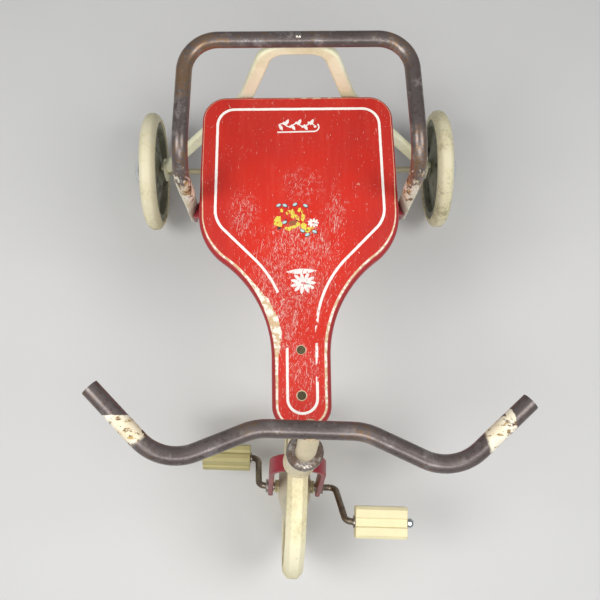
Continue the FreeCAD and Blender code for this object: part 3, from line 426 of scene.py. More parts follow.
def rusty_steel(name, bright=(0.42, 0.39, 0.35), dark=(0.085, 0.055, 0.04), share=0.5):
    """Plain steel that has dulled and rusted in patches; a larger share is rustier."""
    s = Shader(name)
    broad = s.noise(60, detail=5, rough=0.6)
    fine = s.noise(420, detail=4, rough=0.6)
    rust = s.step(s.add(s.mul(broad, 0.75), s.mul(fine, 0.35)), 0.62 - share * 0.2,
                  0.78 - share * 0.2)
    colour = s.mix(rust, bright, s.mix(fine, dark, tinted(dark, 2.4)))
    roughness, metallic = s.step(rust, 0, 1, 0.30, 0.75), s.step(rust, 0, 1, 0.95, 0.25)
    height = s.add(s.mul(fine, 0.5), s.mul(rust, 0.6))
    return s.surface(colour, roughness, metallic, bump=height, depth=0.00015)


def plated(name):
    """Bright plating, lightly pitted and clouded."""
    s = Shader(name)
    fine = s.noise(500, detail=3)
    cloud = s.noise(90, detail=4)
    colour = s.mix(s.step(fine, 0.62, 0.70), (0.74, 0.76, 0.78), (0.22, 0.18, 0.14))
    return s.surface(colour, s.step(cloud, 0.3, 0.7, 0.14, 0.34), 1.0, bump=fine, depth=0.00005)


def moulded_rubber(name, base):
    """The pedals' yellowed cream rubber, with dirt settled in grooves and a fine moulded grain."""
    s = Shader(name)
    broad = s.noise(40, detail=4)
    grain = s.noise(700, detail=3, rough=0.6)
    streak = s.noise(60, detail=4, place=s.mapped(scale=(0.35, 1, 1)))
    colour = s.mix(s.step(broad, 0.3, 0.7), base, tinted(base, 0.92))
    colour = s.mix(s.mul(s.step(streak, 0.55, 0.72), 0.35), colour, tinted(base, 0.6))
    creases = s.mul(s.edges(0.0016, 0.03, 0.30), s.step(s.noise(150, detail=3), 0.35, 0.65))
    colour = s.mix(s.mul(creases, 0.45), colour, (0.34, 0.27, 0.13))
    return s.surface(colour, 0.6, bump=s.add(grain, s.mul(streak, 0.6)), depth=0.00022)


# ---------------------------------------------------------------- assign to CAD nodes

def paint(material, *names):
    """Give CAD nodes one material."""
    for name in names:
        mesh = nodes[name].data
        mesh.materials.clear()
        mesh.materials.append(material)


make_camera()
make_stage()

PLATING = plated("Plating")
paint(worn_cream("HoopCream", (1.0, 1.0, 0.74), dirt=0.2, rust=0.9), "rear_hoop")
paint(worn_cream("HeadCream", (0.84, 0.74, 0.53), dirt=0.5, rust=0.8), "head_tube")
paint(worn_cream("StemCream", (0.72, 0.61, 0.40), dirt=0.9, rust=1.0, edge=0.002), "stem")
paint(worn_cream("HubCream", (0.80, 0.72, 0.42), dirt=0.5, rust=0.6), "front_hub",
      "front_hub_washers")
paint(worn_cream("FrameCream", (0.66, 0.60, 0.44), dirt=0.6, rust=0.8), "main_tube", "axle_sleeve",
      "seat_front_plate", "seat_rear_strap", "lower_head_cup", "front_wheel_disc_left",
      "front_wheel_disc_right")
paint(worn_cream("AxleCream", (0.40, 0.36, 0.23), dirt=0.9, rust=1.0), "rear_axle")
paint(solid_tyre("TyreFront", (0.93, 0.87, 0.62), dirt=0.3), "front_tyre")
# The rear tyres' darker base and heavier grime than the front tyre's are partly dirt and partly
# painted shade.
paint(solid_tyre("TyreRearShaded", (0.90, 0.84, 0.60), dirt=0.8), "rear_tyre_left", "rear_tyre_right")
# The inner faces and hubs, turned in under the seat, are darker and more stained than the outer
# faces: part dirt, part painted shade.
paint(disc_dirt_and_shade("DiscInnerShaded", (0.31, 0.31, 0.22), (0.17, 0.175, 0.13), stain_and_shade=0.85),
      "rear_disc_inner_left", "rear_disc_inner_right", "rear_hub_left", "rear_hub_right")
paint(disc_dirt_and_shade("DiscOuter", (0.56, 0.53, 0.39), (0.38, 0.37, 0.27), stain_and_shade=0.45),
      "rear_disc_outer_left", "rear_disc_outer_right")
paint(dark_red("CrimsonEnamel"), "fork", "rail_bracket", "crown_race")
paint(brown_tube("BrownBar", grip_paint), "handlebar")
paint(brown_tube("BrownRail", leg_paint, rubbing_and_sheen=0.65, rusting=0.64), "seat_rail")
paint(rusty_steel("RustySteel"), "fork_bushes", "crown_bolt", "front_hub_pin", "axle_nuts",
      "axle_washers", "seat_nuts", "seat_screws", "rail_bolts", "rail_nuts", "rail_top_bolt",
      "head_bushes", "pedal_washers", "pedal_left_sleeve", "pedal_right_sleeve")
paint(rusty_steel("CrankSteel", (0.24, 0.20, 0.15), (0.055, 0.038, 0.028), 0.7), "crank_axle")
paint(rusty_steel("BoltHeads", (0.16, 0.14, 0.07), (0.045, 0.035, 0.016), 0.9), "seat_bolts")
paint(rusty_steel("RingSteel", (0.44, 0.41, 0.38), (0.085, 0.055, 0.04), 0.8), "stem_ring")
paint(PLATING, "pedal_nuts")
paint(moulded_rubber("PedalRight", (0.86, 0.78, 0.48)), "pedal_right")
# The left pedal's darker base is painted shade, the handlebar's shadow falling on it.
paint(moulded_rubber("PedalLeftShaded", (0.52, 0.46, 0.21)), "pedal_left")


# ---------------------------------------------------------------- meshes made here

def piece_mesh(name, bm):
    """The finished mesh of a bmesh, with its normals outward."""
    bmesh.ops.recalc_face_normals(bm, faces=bm.faces)
    mesh = bpy.data.meshes.new(name)
    bm.to_mesh(mesh)
    bm.free()
    return mesh


def piece_object(name, mesh, material):
    """Link a mesh with its material as an object of its own."""
    mesh.materials.append(material)
    piece = bpy.data.objects.new(name, mesh)
    bpy.context.scene.collection.objects.link(piece)
    return piece


def set_down(mesh, back=0.0, up=0.0):
    """Turn a mesh drawn in mm from the front axle's place into metres in the CAD frame."""
    mesh.transform(Matrix.Translation((0, FRONT_AXLE_Y + back * MM, up * MM)) @ Matrix.Scale(MM, 4))


def smooth(mesh):
    for polygon in mesh.polygons:
        polygon.use_smooth = True


def bridge(bm, upper, lower):
    """Quads between two closed rings of equally many points."""
    for i in range(len(upper)):
        j = (i + 1) % len(upper)
        bm.faces.new((upper[i], upper[j], lower[j], lower[i]))


# ---------------------------------------------------------------- seat board

# All in mm: x, and back from the front axle.
TOP, THICK, LOW_EDGE = 325.0, 15.0, 2.5
REAR, NOSE = 500.0, 72.0
REAR_HALF, WIDEST_HALF, WIDEST_BACK, NECK_HALF = 122.5, 127.0, 345.0, 36.5
CORNER_RADIUS, SHOULDER_RADIUS, WAIST_RADIUS, NOSE_RADIUS = 31.0, 75.0, 150.0, 30.0
STRIPE_X = 1.0                       # the stripe sits this far off the middle
STRIPE_CORNERS = [(0, 483.5), (103.6, 483.5), (107.4, 334.7), (18.2, 245.5), (18.2, 92.4),
                  (0, 92.4)]
STRIPE_RADII = [22, 36, 135, 18.1]
PIT_RADIUS = 5.6
PIT_STEPS = [(5.35, TOP - 0.3), (5.3, TOP - 1.4), (3.4, TOP - 3.6)]
# Each bolt pit's distance back in mm, and in metres where the bare wood round it fades out.
PALE_RINGS = ((114.0, 0.0062, 0.0068), (170.0, 0.0058, 0.0062))


def rounded_path(corners, radii, spacing):
    """Points along straight runs through the corners, joined by tangent arcs of these radii."""
    corners = [np.array(c, float) for c in corners]
    points = [corners[0]]

    def run(a, b):
        count = max(1, round(float(np.linalg.norm(b - a)) / spacing))
        points.extend(a + (b - a) * k / count for k in range(1, count + 1))

    for before, corner, after, radius in zip(corners, corners[1:], corners[2:], radii):
        towards = (before - corner) / np.linalg.norm(before - corner)
        onwards = (after - corner) / np.linalg.norm(after - corner)
        half = math.acos(float(np.clip(towards @ onwards, -1, 1))) / 2
        setback = radius / math.tan(half)
        bisector = towards + onwards
        middle = corner + bisector / np.linalg.norm(bisector) * radius / math.sin(half)
        first, last = corner + towards * setback, corner + onwards * setback
        run(points[-1], first)
        u, v = first - middle, last - middle
        angle = math.acos(float(np.clip(u @ v / radius ** 2, -1, 1)))
        count = max(3, math.ceil(angle * radius / spacing))
        for k in range(1, count + 1):
            t = k / count
            share_u, share_v = math.sin((1 - t) * angle), math.sin(t * angle)
            points.append(middle + (share_u * u + share_v * v) / math.sin(angle))
    run(points[-1], corners[-1])
    return np.array(points)


def arc(centre, radius, start, end, spacing):
    """Points round an arc, its angles in radians."""
    count = max(3, math.ceil(abs(end - start) * radius / spacing))
    angles = np.linspace(start, end, count + 1)
    return np.array([(centre[0] + radius * math.cos(a), centre[1] + radius * math.sin(a))
                     for a in angles])


def seat_half_outline(spacing=2.2):
    """Right half of the board's outline, from the middle of its back to the middle of its nose."""
    swing = math.acos(1 - (WIDEST_HALF - NECK_HALF) / (SHOULDER_RADIUS + WAIST_RADIUS))
    corner_back = REAR - CORNER_RADIUS
    lean = math.atan2(WIDEST_HALF - REAR_HALF, corner_back - WIDEST_BACK)
    shoulder = (WIDEST_HALF - SHOULDER_RADIUS * math.cos(lean),
                WIDEST_BACK - SHOULDER_RADIUS * math.sin(lean))
    waist = (NECK_HALF + WAIST_RADIUS,
             shoulder[1] - math.sin(swing) * (SHOULDER_RADIUS + WAIST_RADIUS))
    corner = (REAR_HALF - CORNER_RADIUS * math.cos(lean), corner_back)
    nose = (NECK_HALF - NOSE_RADIUS, NOSE + NOSE_RADIUS)
    pieces = [np.array([[0, REAR], [corner[0], REAR]]),
              arc(corner, CORNER_RADIUS, math.pi / 2, lean, spacing),
              arc(shoulder, SHOULDER_RADIUS, lean, -swing, spacing),
              arc(waist, WAIST_RADIUS, math.pi - swing, math.pi, spacing),
              arc(nose, NOSE_RADIUS, 0, -math.pi / 2, spacing), np.array([[0, NOSE]])]
    outline = [pieces[0][0]]
    for point in np.concatenate(pieces)[1:]:
        last = outline[-1]
        gap = point - last
        length = float(np.linalg.norm(gap))
        if length < 1e-6:
            continue
        count = max(1, round(length / spacing))
        outline.extend(last + gap * k / count for k in range(1, count + 1))
    return np.array(outline)


def mirrored(half):
    """A closed loop from its right half, whose two ends lie on the middle line."""
    return np.concatenate([half, half[1:-1][::-1] * (-1, 1)])


def outward_normals(loop):
    """Unit normals of a closed loop, pointing out of it."""
    ahead, behind = np.roll(loop, -1, axis=0), np.roll(loop, 1, axis=0)
    tangent = ahead - behind
    tangent /= np.linalg.norm(tangent, axis=1)[:, None]
    normal = np.stack([-tangent[:, 1], tangent[:, 0]], axis=1)
    area = np.sum(loop[:, 0] * ahead[:, 1] - ahead[:, 0] * loop[:, 1])
    return normal if area < 0 else -normal


def distance_to(points, path, closed):
    """Distance from each point to the nearest place on a path of straight pieces."""
    start = path if closed else path[:-1]
    end = np.roll(path, -1, axis=0) if closed else path[1:]
    best = np.full(len(points), 1e9)
    for a, b in zip(start, end):
        d = b - a
        t = np.clip(((points - a) @ d) / (d @ d), 0, 1)
        best = np.minimum(best, np.linalg.norm(points - a - t[:, None] * d, axis=1))
    return best


def stripe_path():
    return mirrored(rounded_path(STRIPE_CORNERS, STRIPE_RADII, 1.5)) + (STRIPE_X, 0)


def edge_radius(back):
    """How far the top edge is rounded over, in mm, growing towards the neck."""
    return float(np.interp(back, [72, 300, 350, 400, 500], [7.5, 7.5, 5.5, 3.2, 2.6]))


def inside(points, loop):
    """Which points lie inside a closed loop."""
    found = np.zeros(len(points), bool)
    for a, b in zip(loop, np.roll(loop, -1, axis=0)):
        crossing = (a[1] > points[:, 1]) != (b[1] > points[:, 1])
        if crossing.any():
            reach = (b[0] - a[0]) * (points[:, 1] - a[1]) / (b[1] - a[1]) + a[0]
            found ^= crossing & (points[:, 0] < reach)
    return found


def fill(bm, border, level, holes, spacing):
    """Triangulate the flat face inside a border; returns the rings of points round its holes."""
    flat = np.array([v.co[:2] for v in border])
    low, high = flat.min(axis=0), flat.max(axis=0)
    grid = np.array([(x, y) for row, y in enumerate(np.arange(low[1], high[1], spacing * 0.866))
                     for x in np.arange(low[0] + (row % 2) * spacing / 2, high[0], spacing)])
    grid = grid[inside(grid, flat)]
    grid = grid[distance_to(grid, flat, True) > spacing * 0.6]
    turns = np.linspace(0, 2 * math.pi, 24, endpoint=False)
    rings = []
    for centre, radius in holes:
        grid = grid[np.linalg.norm(grid - centre, axis=1) > radius + spacing * 0.5]
        rings.append(centre + radius * np.stack([np.cos(turns), np.sin(turns)], axis=1))
    loops = [flat] + rings
    points, edges = [], []
    for loop in loops:
        base = len(points)
        points += [Vector(p) for p in loop]
        edges += [(base + i, base + (i + 1) % len(loop)) for i in range(len(loop))]
    points += [Vector(p) for p in grid]
    places, _, faces, sources, _, _ = delaunay_2d_cdt(points, edges, [], 0, 1e-6, True)
    made, by_source = [], {}
    for place, origins in zip(places, sources):
        known = [k for k in origins if k < len(border)]
        made.append(border[known[0]] if known else bm.verts.new((place.x, place.y, level)))
        for k in origins:
            by_source[k] = made[-1]
    middles = np.array([sum((places[i] for i in face), Vector((0, 0))) / len(face)
                        for face in faces])
    wanted = inside(middles, flat)
    for centre, radius in holes:
        wanted &= np.linalg.norm(middles - centre, axis=1) > radius * 0.97
    for face, keep in zip(faces, wanted):
        if keep:
            bm.faces.new([made[i] for i in face])
    starts = np.cumsum([len(loop) for loop in loops])
    return [[by_source[k] for k in range(starts[i], starts[i + 1])] for i in range(len(rings))]


def skirt(bm, ring, centre, steps):
    """Carry a ring down through (radius, z) steps and close it with one face."""
    for radius, level in steps:
        lower = []
        for vert in ring:
            away = Vector((vert.co.x - centre[0], vert.co.y - centre[1])).normalized() * radius
            lower.append(bm.verts.new((centre[0] + away.x, centre[1] + away.y, level)))
        bridge(bm, ring, lower)
        ring = lower
    bm.faces.new(ring)


def make_seat():
    """The board: two bolt pits in a flat top, and an edge rounded over more towards the neck."""
    outline = mirrored(seat_half_outline())
    normals = outward_normals(outline)
    radii = np.array([edge_radius(y) for y in outline[:, 1]])
    wall_low = TOP - THICK + LOW_EDGE
    rings = []
    for a in np.linspace(0, math.pi / 2, 7):
        rings.append((radii * (1 - math.sin(a)), TOP - radii * (1 - math.cos(a))))
    for share in (0.5, 1.0):
        rings.append((np.zeros(len(radii)), (TOP - radii) * (1 - share) + wall_low * share))
    for a in (math.pi / 4, math.pi / 2):
        rings.append((np.full(len(radii), LOW_EDGE * (1 - math.cos(a))),
                      np.full(len(radii), wall_low - LOW_EDGE * math.sin(a))))
    bm = bmesh.new()
    loops = []
    for inset, level in rings:
        flat = outline - normals * inset[:, None]
        loops.append([bm.verts.new((x, y, z)) for (x, y), z in zip(flat, level)])
    for upper, lower in zip(loops, loops[1:]):
        bridge(bm, upper, lower)
    holes = [(np.array((0.0, back)), PIT_RADIUS) for back, _, _ in PALE_RINGS]
    for ring, (centre, _) in zip(fill(bm, loops[0], TOP, holes, 3.0), holes):
        skirt(bm, ring, centre, PIT_STEPS)
    fill(bm, loops[-1], TOP - THICK, [], 9.0)
    mesh = piece_mesh("PaintedBoard", bm)
    add_paint_layers(mesh, outline)
    set_down(mesh)
    smooth(mesh)
    seat = piece_object("PaintedBoard", mesh, seat_paint())
    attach(seat, "frame")
    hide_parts("seat_board")


def add_paint_layers(mesh, outline):
    """Store, for each point of the board, what its paint needs to know.

    rim: distance in from the outline, negative below the rounded edge; rounding: that edge's
    radius; stripe: distance from the stripe's middle line, positive inside it; wear: how far the
    edge's paint has worn back; fade: how much of the stripe is left.
    """
    place = np.array([v.co for v in mesh.vertices], float)
    flat = place[:, :2]
    radius = np.array([edge_radius(y) for y in flat[:, 1]])
    rim = distance_to(flat, outline, True)
    below = place[:, 2] < TOP - radius - 0.01
    rim = np.where(below, -(TOP - radius - place[:, 2]) - 0.01, rim)
    rim = np.where(place[:, 2] < TOP - THICK + 0.5, -30.0, rim)
    stripe = stripe_path()
    side = distance_to(flat, stripe, True) * np.where(inside(flat, stripe), 1, -1)
    left, back = flat[:, 0] < 0, flat[:, 1]
    wear = np.interp(back, [72, 110, 250, 300, 345, 400, 500],
                     [0.7, 1.0, 1.0, 0.85, 0.5, 0.2, 0.12])
    wear += np.where(left, 1.25, 0.14) * np.exp(-((back - np.where(left, 206, 190)) / 44) ** 2)
    fade = np.where(left, np.interp(back, [168, 182, 236, 252], [1, 0.05, 0.05, 1]),
                    np.interp(back, [118, 132, 205, 232], [1, 0.42, 0.42, 1]))
    for name, values in (("rim", rim), ("rounding", radius), ("stripe", side), ("wear", wear),
                         ("fade", fade)):
        layer = mesh.attributes.new(name, "FLOAT", "POINT")
        layer.data.foreach_set("value", values.astype(np.float32))


# The second red is the board's red in painted shade, for where the rail's shadow falls on it.
DEEP_RED, SHADED_RED, CLOUD_RED, VEIN_RED = ((0.66, 0.021, 0.007), (0.50, 0.022, 0.014),
                                           (0.42, 0.026, 0.022), (0.70, 0.075, 0.05))
STRIPE_CREAM, UNDERCOAT = (0.94, 0.91, 0.86), (0.93, 0.89, 0.80)
WOOD_DARK, WOOD_PALE = (0.58, 0.37, 0.19), (0.76, 0.58, 0.36)
# Scuffed patches: x and back, half sizes across and lengthwise, in mm, and strength.
SCUFFS = ((-12, 255, 62, 62, 1.0), (0, 300, 60, 60, 1.0), (-24, 205, 30, 60, 1.1),
          (-70, 345, 26, 45, 0.9), (46, 345, 18, 48, 0.9), (6, 380, 40, 34, 0.75),
          (0, 150, 26, 50, 0.65))
# Scratches: angle in degrees, length and width in metres, and how few are kept.
SCRATCHES = ((4, 0.010, 0.0008, 0.735), (-16, 0.006, 0.0008, 0.735), (33, 0.010, 0.0007, 0.740),
             (-52, 0.005, 0.0008, 0.745), (9, 0.030, 0.0009, 0.755))


def spot(s, x, back, across, lengthwise):
    """Soft elliptical patch on the board, 1 in its middle; its place and half sizes are in mm."""
    u = s.math("DIVIDE", s.less(s.axis("X"), x * MM), across * MM)
    v = s.math("DIVIDE", s.less(s.axis("Y"), FRONT_AXLE_Y + back * MM), lengthwise * MM)
    reach = s.math("SQRT", s.add(s.mul(u, u), s.mul(v, v)))
    return s.step(reach, 0.2, 1.0, 1.0, 0.0)


def streaks(s, angle, length, width, zone, keep):
    """Fine scratches at an angle to +Y; a higher zone leaves more of them."""
    turned = s.mapped(turn=(0, 0, math.radians(angle)))
    place = s.mapped(scale=(1 / width, 1 / length, 1 / length), place=turned)
    lines = s.noise(1.0, detail=1.5, rough=0.6, place=place)
    limit = s.less(keep, s.mul(zone, 0.10))
    return s.step(s.less(lines, limit), 0.0, 0.035)


def seat_paint():
    """Red board paint with a cream stripe, scratched, scuffed and worn to wood at its edges, and
    darker as painted shade at its sides, back and edge.
    """
    s = Shader("BoardPaint")
    x, y = s.axis("X"), s.axis("Y")
    broad = s.noise(9, detail=3)
    fine = s.noise(420, detail=4, rough=0.6)
    ragged = s.noise(190, detail=4, rough=0.65)
    rim, stripe = s.attribute("rim"), s.attribute("stripe")
    wear, fade, rounding = s.attribute("wear"), s.attribute("fade"), s.attribute("rounding")

    # Painted shade: the red turns darker and duller away from the middle and towards the back,
    # standing in for the soft shadow the rail casts on the board.
    away = s.step(s.add(s.math("ABSOLUTE", x), s.mul(s.less(broad, 0.5), 0.06)), 0.045, 0.125)
    rearward = s.step(y, 0.12, 0.27)
    dull = s.either(away, s.mul(rearward, 0.75))
    colour = s.mix(dull, DEEP_RED, SHADED_RED)
    cloud = s.step(s.noise(26, detail=4), 0.35, 0.7)
    colour = s.mix(s.mul(cloud, 0.30), colour, CLOUD_RED)
    vein = s.noise(1.0, detail=3, place=s.mapped(scale=(230, 24, 24)))
    colour = s.mix(s.mul(s.step(vein, 0.45, 0.75), 0.22), colour, VEIN_RED)

    line = s.add(s.math("ABSOLUTE", stripe), s.mul(s.less(ragged, 0.5), 0.9))
    kept = s.add(s.noise(75, detail=3), s.mul(s.less(fade, 1.0), 0.52))
    patchy = s.step(kept, 0.20, 0.28)
    drawn = s.mul(s.step(line, 1.45, 1.85, 1.0, 0.0), patchy)
    colour = s.mix(drawn, colour, STRIPE_CREAM)

    front = s.step(y, 0.165, 0.03)
    centre = s.step(s.math("ABSOLUTE", x), 0.05, 0.115, 1.0, 0.25)
    dense = 0.0
    for *patch_size, strength in SCUFFS:
        dense = s.either(dense, s.mul(spot(s, *patch_size), strength))
    zone = s.both(s.add(s.mul(front, centre, 0.42), s.mul(dense, 0.75), 0.17), 1.0)
    scratch = 0.0
    for angle, length, width, keep in SCRATCHES:
        scratch = s.either(scratch, streaks(s, angle, length, width, zone, keep))
    crosswise = streaks(s, 84, 0.012, 0.0008, spot(s, -18, 238, 48, 24), 0.735)
    scratch = s.either(scratch, crosswise)
    dusty = s.mix(fine, (0.80, 0.50, 0.46), (0.92, 0.80, 0.72))
    colour = s.mix(s.mul(scratch, 0.85), colour, dusty)
    scuff = s.mul(s.step(ragged, 0.50, 0.66), s.mul(dense, 0.36))
    colour = s.mix(scuff, colour, (0.82, 0.46, 0.40))
    nicks = s.step(s.noise(150, detail=2, place=s.mapped(scale=(1, 0.7, 1))), 0.735, 0.76)
    colour = s.mix(s.mul(nicks, s.add(0.35, s.mul(front, 0.6))), colour, (0.84, 0.70, 0.52))

    # Bare wood along the rounded edge, in a patch inside it at the neck, and in chips at the back;
    # rim, rounding, wear and wander are in mm.
    wander = s.add(s.mul(s.less(ragged, 0.5), 3.2), s.mul(s.less(s.noise(60, detail=3), 0.5), 3.0))
    turned_over = s.mul(rounding, 0.86)
    from_line = s.math("ABSOLUTE", s.less(s.add(rim, s.mul(wander, 0.35)), turned_over))
    worn = s.step(s.less(from_line, s.mul(wear, 1.45)), -0.3, 0.3, 1.0, 0.0)
    inner = s.less(s.add(s.mul(s.less(wear, 1.2), 8.5), s.mul(wander, 2.1)), s.less(rim, 7.0))
    patch = s.mul(s.step(inner, -0.3, 0.5), s.step(rim, 5.0, 6.5))
    back_chips = s.mul(s.step(s.add(rim, s.mul(wander, 1.1)), 3.4, 2.4),
                       spot(s, 22, 500, 46, 20), s.step(s.noise(110, detail=3), 0.46, 0.52))
    bare = s.either(s.either(worn, patch), back_chips)
    grain = s.noise(1.0, detail=4, place=s.mapped(scale=(500, 60, 200)))
    wood = s.mix(grain, WOOD_DARK, WOOD_PALE)
    primed = s.mul(s.step(ragged, 0.47, 0.53), s.step(wear, 0.2, 1.2, 0.25, 0.9))
    shell = s.mix(primed, wood, UNDERCOAT)
    # Painted shade: the rounded-over edge and the board's sides, which face away from the lamps,
    # are given a darker red.
    outer = s.step(s.less(rim, s.mul(rounding, 0.8)), 0.0, -0.6)
    side = s.mix(s.mul(s.step(ragged, 0.58, 0.70), 0.5), (0.36, 0.022, 0.026), (0.16, 0.02, 0.02))
    colour = s.mix(s.mul(outer, 0.9), colour, side)
    colour = s.mix(bare, colour, shell)
    for back, reach, soft in PALE_RINGS:
        middle = Vector((0, FRONT_AXLE_Y + back * MM, TOP * MM))
        colour = s.mix(s.near(middle, reach, soft), colour, (0.66, 0.52, 0.33))
    height = s.add(s.mul(fine, 0.25), s.invert(s.either(bare, scratch)), s.mul(drawn, 0.5))
    roughness = s.step(s.either(bare, s.mul(scratch, 0.6)), 0, 1, 0.36, 0.75)
    return s.surface(colour, roughness, bump=height, depth=0.00012)


make_seat()


# ---------------------------------------------------------------- ornaments printed on the seat

# Each plate runs from just inside the board to just above it, and a higher layer lies on a lower.
PRINT_LOW, PRINT_HIGH, PRINT_STEP = TOP - 0.12, TOP + 0.05, 0.03
WHITE = (0.93, 0.90, 0.86)
# Petals: x and back, half sizes across and lengthwise in mm, and turn in degrees.
PETALS = ((-8.2, 343, 2.8, 6.2, 4), (0.4, 348, 2.0, 3.2, -20), (4.8, 338.5, 2.2, 6.0, -6),
          (-2.6, 338, 2.0, 4.8, 30), (-14, 345, 2.2, 3.4, -35), (-22, 347.5, 1.8, 2.6, 10),
          (-27.5, 335, 4.0, 5.8, -30), (-24, 329.5, 3.4, 3.4, 0), (-29.5, 330, 2.2, 3.2, 40),
          (-14, 323.6, 4.6, 2.4, -14), (-7.5, 325.8, 5.4, 1.9, 12), (-1.6, 329.5, 2.6, 3.2, 30),
          (5.6, 327, 3.8, 4.4, 20), (9.8, 322, 4.2, 3.4, -10), (14.6, 323.6, 3.6, 2.0, 10),
          (4.0, 345.5, 1.4, 2.6, 0))
BUDS = ((-25.8, 354.5), (-18.0, 354.3), (-5.2, 355.4), (8.1, 353.7), (-18.6, 332.1),
        (3.8, 320.9), (9.9, 315.8), (19.1, 319.6))
BLOSSOM_MIDDLES = ((-25.5, 324.5, 2.4), (9.8, 321.5, 1.3), (-17, 335.5, 1.2), (-3.0, 334.2, 1.2))


def turned_rim(x, back, angle, points):
    """An outline drawn round (0, 0), turned by an angle and moved to (x, back)."""
    return [(x + u * math.cos(angle) - v * math.sin(angle),
             back + u * math.sin(angle) + v * math.cos(angle)) for u, v in points]


def plate(bm, rim, high, centre):
    """A thin closed plate over one outline, its flat faces fanned from a centre."""
    upper = [bm.verts.new((x, y, high)) for x, y in rim]
    lower = [bm.verts.new((x, y, PRINT_LOW)) for x, y in rim]
    bridge(bm, upper, lower)
    for ring, level in ((upper, high), (lower, PRINT_LOW)):
        middle = bm.verts.new((*centre, level))
        for i in range(len(ring)):
            bm.faces.new((ring[i], ring[(i + 1) % len(ring)], middle))


def blob(bm, x, back, across, lengthwise, turn=0.0, layer=0, lobes=0, depth=0.0):
    """An ellipse, scalloped if it has lobes; sizes are half widths in mm, turn in degrees."""
    points = []
    for t in np.linspace(0, 2 * math.pi, max(20, lobes * 8), endpoint=False):
        reach = 1 + depth * math.cos(lobes * t)
        points.append((across * reach * math.cos(t), lengthwise * reach * math.sin(t)))
    rim = turned_rim(x, back, math.radians(turn), points)
    plate(bm, rim, PRINT_HIGH + layer * PRINT_STEP, (x, back))


def leaf(bm, x, back, length, width, turn, layer=0):
    """A pointed leaf centred on (x, back), its length along the turned +X."""
    t = np.linspace(-1, 1, 13)
    upper = [(k * length / 2, width / 2 * (1 - k * k)) for k in t]
    lower = [(k * length / 2, -width / 2 * (1 - k * k)) for k in t[1:-1][::-1]]
    rim = turned_rim(x, back, math.radians(turn), upper + lower)
    plate(bm, rim, PRINT_HIGH + layer * PRINT_STEP, (x, back))


def ribbon(bm, path, half):
    """A line of even width along a path."""
    path = np.array(path, float)
    along = np.gradient(path, axis=0)
    along /= np.linalg.norm(along, axis=1)[:, None]
    side = np.stack([-along[:, 1], along[:, 0]], axis=1) * half
    rows = []
    for point, out in zip(path, side):
        section = ((point + out, PRINT_HIGH), (point - out, PRINT_HIGH), (point - out, PRINT_LOW),
                   (point + out, PRINT_LOW))
        rows.append([bm.verts.new((*place, z)) for place, z in section])
    for first, second in zip(rows, rows[1:]):
        bridge(bm, first, second)
    bm.faces.new(rows[0])
    bm.faces.new(rows[-1][::-1])


def printed(name, colour, worn, draw):
    """One colour of print on the board, scratched through to the red; a lower worn loses more."""
    bm = bmesh.new()
    draw(bm)
    mesh = piece_mesh(name, bm)
    set_down(mesh)
    s = Shader(name)
    flakes = s.noise(330, detail=4, rough=0.65)
    lines = s.noise(1.0, detail=2, place=s.mapped(turn=(0, 0, 0.1), scale=(1100, 110, 110)))
    lost = s.either(s.step(flakes, worn, worn + 0.05), s.step(lines, worn + 0.03, worn + 0.08))
    shade = s.mix(s.noise(90, detail=3), colour, tinted(colour, 0.82))
    print_colour = s.mix(lost, shade, (0.60, 0.035, 0.022))
    worn_print = s.surface(print_colour, 0.45, bump=flakes, depth=0.00005)
    piece = piece_object(name, mesh, worn_print)
    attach(piece, "frame")


def draw_scroll(bm):
    """A leafy vine over a hooked underline, near the back of the board."""
    t = np.linspace(0, 1, 60)
    ribbon(bm, np.stack([-25 + 46 * t, 461.5 + 2.2 * np.sin(t * 5 * math.pi)], axis=1), 0.75)
    for k in range(6):
        x = -22 + 8.0 * k
        up = 1 if k % 2 else -1
        leaf(bm, x, 462 + up * 3.4, 9.5, 4.2, 62 * up, layer=1 + k % 2)
        blob(bm, x + 4.2, 462 - up * 2.6, 1.7, 1.7, layer=3)
    under = [(-26.5 + 46 * k, 452.0 + 0.8 * k) for k in np.linspace(0, 1, 24)]
    hook = [(20.5 + 6.5 * math.sin(a), 458.8 - 6 * math.cos(a)) for a in np.linspace(0.15, 2.3, 16)]
    ribbon(bm, under + hook, 0.95)


def draw_rosette(bm):
    """A long leaf over a flower of eleven petals, in front of the middle of the board."""
    leaf(bm, 1.6, 268.6, 39, 6.6, 2)
    for k in range(11):
        angle = 2 * math.pi * k / 11
        across, lengthwise = 9.2 * math.cos(angle), 7.6 * math.sin(angle)
        blob(bm, 3.8 + across, 253.8 + lengthwise, 6.6, 2.2,
             math.degrees(math.atan2(lengthwise, across)), layer=k % 2)


def draw_heart(bm):
    """The brown middle of the largest blossom."""
    blob(bm, -8.4, 331.2, 5.2, 3.2, 8, layer=4, lobes=6, depth=0.08)


def draw_petals(bm):
    """Loose blossoms, each of a few broad petals."""
    for k, (x, back, across, lengthwise, turn) in enumerate(PETALS):
        blob(bm, x, back, across, lengthwise, turn, layer=1 + k % 3, lobes=5, depth=0.09)


def draw_buds(bm):
    """Small oval buds round the blossoms."""
    for k, (x, back) in enumerate(BUDS):
        blob(bm, x, back, 2.9, 1.7, 25 - 50 * (k % 2), layer=5)


def draw_outlines(bm):
    """Dark rims under the buds and dark middles in the blossoms."""
    for k, (x, back) in enumerate(BUDS):
        blob(bm, x + 0.3, back - 0.3, 3.7, 2.4, 25 - 50 * (k % 2), layer=4)
    for x, back, size in BLOSSOM_MIDDLES:
        blob(bm, x, back, size, size * 0.8, layer=5, lobes=6, depth=0.2)


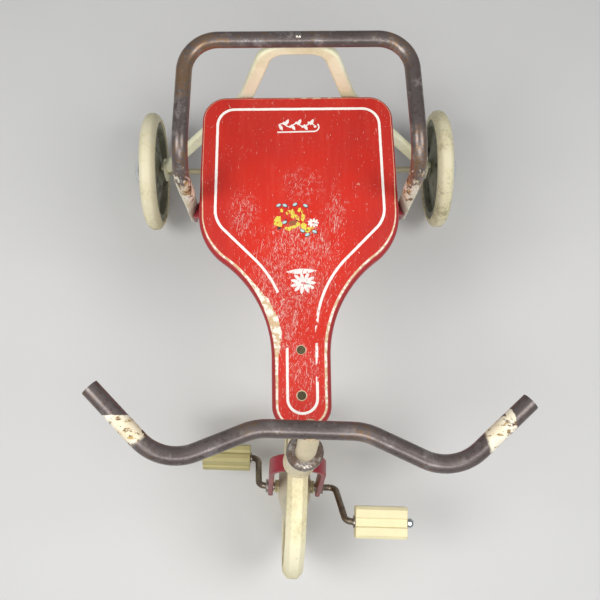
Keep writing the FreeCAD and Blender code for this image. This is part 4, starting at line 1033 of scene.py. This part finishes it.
def draw_daisy(bm):
    """A small flower of nine petals beside the blossoms."""
    for k in range(9):
        angle = math.radians(40 * k)
        blob(bm, 17.6 + 4.6 * math.cos(angle), 330.9 + 3.4 * math.sin(angle), 2.7, 1.45, 40 * k,
             layer=5 + k % 2)


printed("PrintScroll", WHITE, 0.68, draw_scroll)
printed("PrintRosette", WHITE, 0.60, draw_rosette)
printed("PrintPetals", (0.84, 0.72, 0.09), 0.56, draw_petals)
printed("PrintBuds", (0.50, 0.74, 0.76), 0.64, draw_buds)
printed("PrintOutlines", (0.07, 0.05, 0.05), 0.62, draw_outlines)
printed("PrintDaisy", WHITE, 0.62, draw_daisy)
printed("PrintHeart", (0.36, 0.12, 0.05), 0.62, draw_heart)


# ---------------------------------------------------------------- hub caps

WHEELBASE, REAR_RADIUS, REAR_TRACK = 481.5, 90.0, 220.0
# (distance out from the wheel's middle, radius) along the cap's flange and bead, and inside its rim
CAP_FLANGE = [(11.0, 13.0), (11.0, 18.0), (11.2, 23.0), (11.6, 24.2), (12.3, 24.8), (13.0, 24.8),
              (13.7, 24.4)]
CAP_TIP, CAP_LIP = [(31.0, 0.0), (29.8, 0.0)], [(12.2, 18.0), (12.2, 13.0)]
DOME_START = 0.06                    # where the dome's arc leaves the bead, in radians


def cap_profile():
    """(distance out, radius) round a pressed cap: flange, bead, dome, inside."""
    outside = [(13.6 + 17.4 * math.sin(t), 24.1 * math.cos(t))
               for t in np.linspace(DOME_START, math.pi / 2, 16)]
    wall = [(12.8 + 17.0 * math.sin(t), 22.9 * math.cos(t))
            for t in np.linspace(math.pi / 2, DOME_START, 12)]
    return CAP_FLANGE + [(14.1, 23.9)] + outside[:-1] + CAP_TIP + wall[1:] + CAP_LIP


def make_hub_cap(side, sign):
    """A cap turned from its profile about the wheel's axis."""
    bm = bmesh.new()
    turns = np.linspace(0, 2 * math.pi, 72, endpoint=False)
    rings = []
    for out, radius in cap_profile():
        angles = turns[:1] if radius == 0 else turns
        rings.append([bm.verts.new((sign * (REAR_TRACK + out), radius * math.cos(t),
                                    radius * math.sin(t))) for t in angles])
    for first, second in zip(rings, rings[1:] + rings[:1]):
        if len(first) == len(second) == 1:
            continue
        for i in range(len(turns)):
            j = (i + 1) % len(turns)
            corners = [first[i % len(first)], first[j % len(first)], second[j % len(second)],
                       second[i % len(second)]]
            bm.faces.new(list(dict.fromkeys(corners)))
    mesh = piece_mesh(f"HubCap_{side}", bm)
    set_down(mesh, WHEELBASE, REAR_RADIUS)
    smooth(mesh)
    cap = piece_object(f"HubCap_{side}", mesh, PLATING)
    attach(cap, f"{side}_rear_wheel")
    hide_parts(f"hub_cap_{side}")


make_hub_cap("left", -1)
make_hub_cap("right", 1)

bpy.context.view_layer.update()
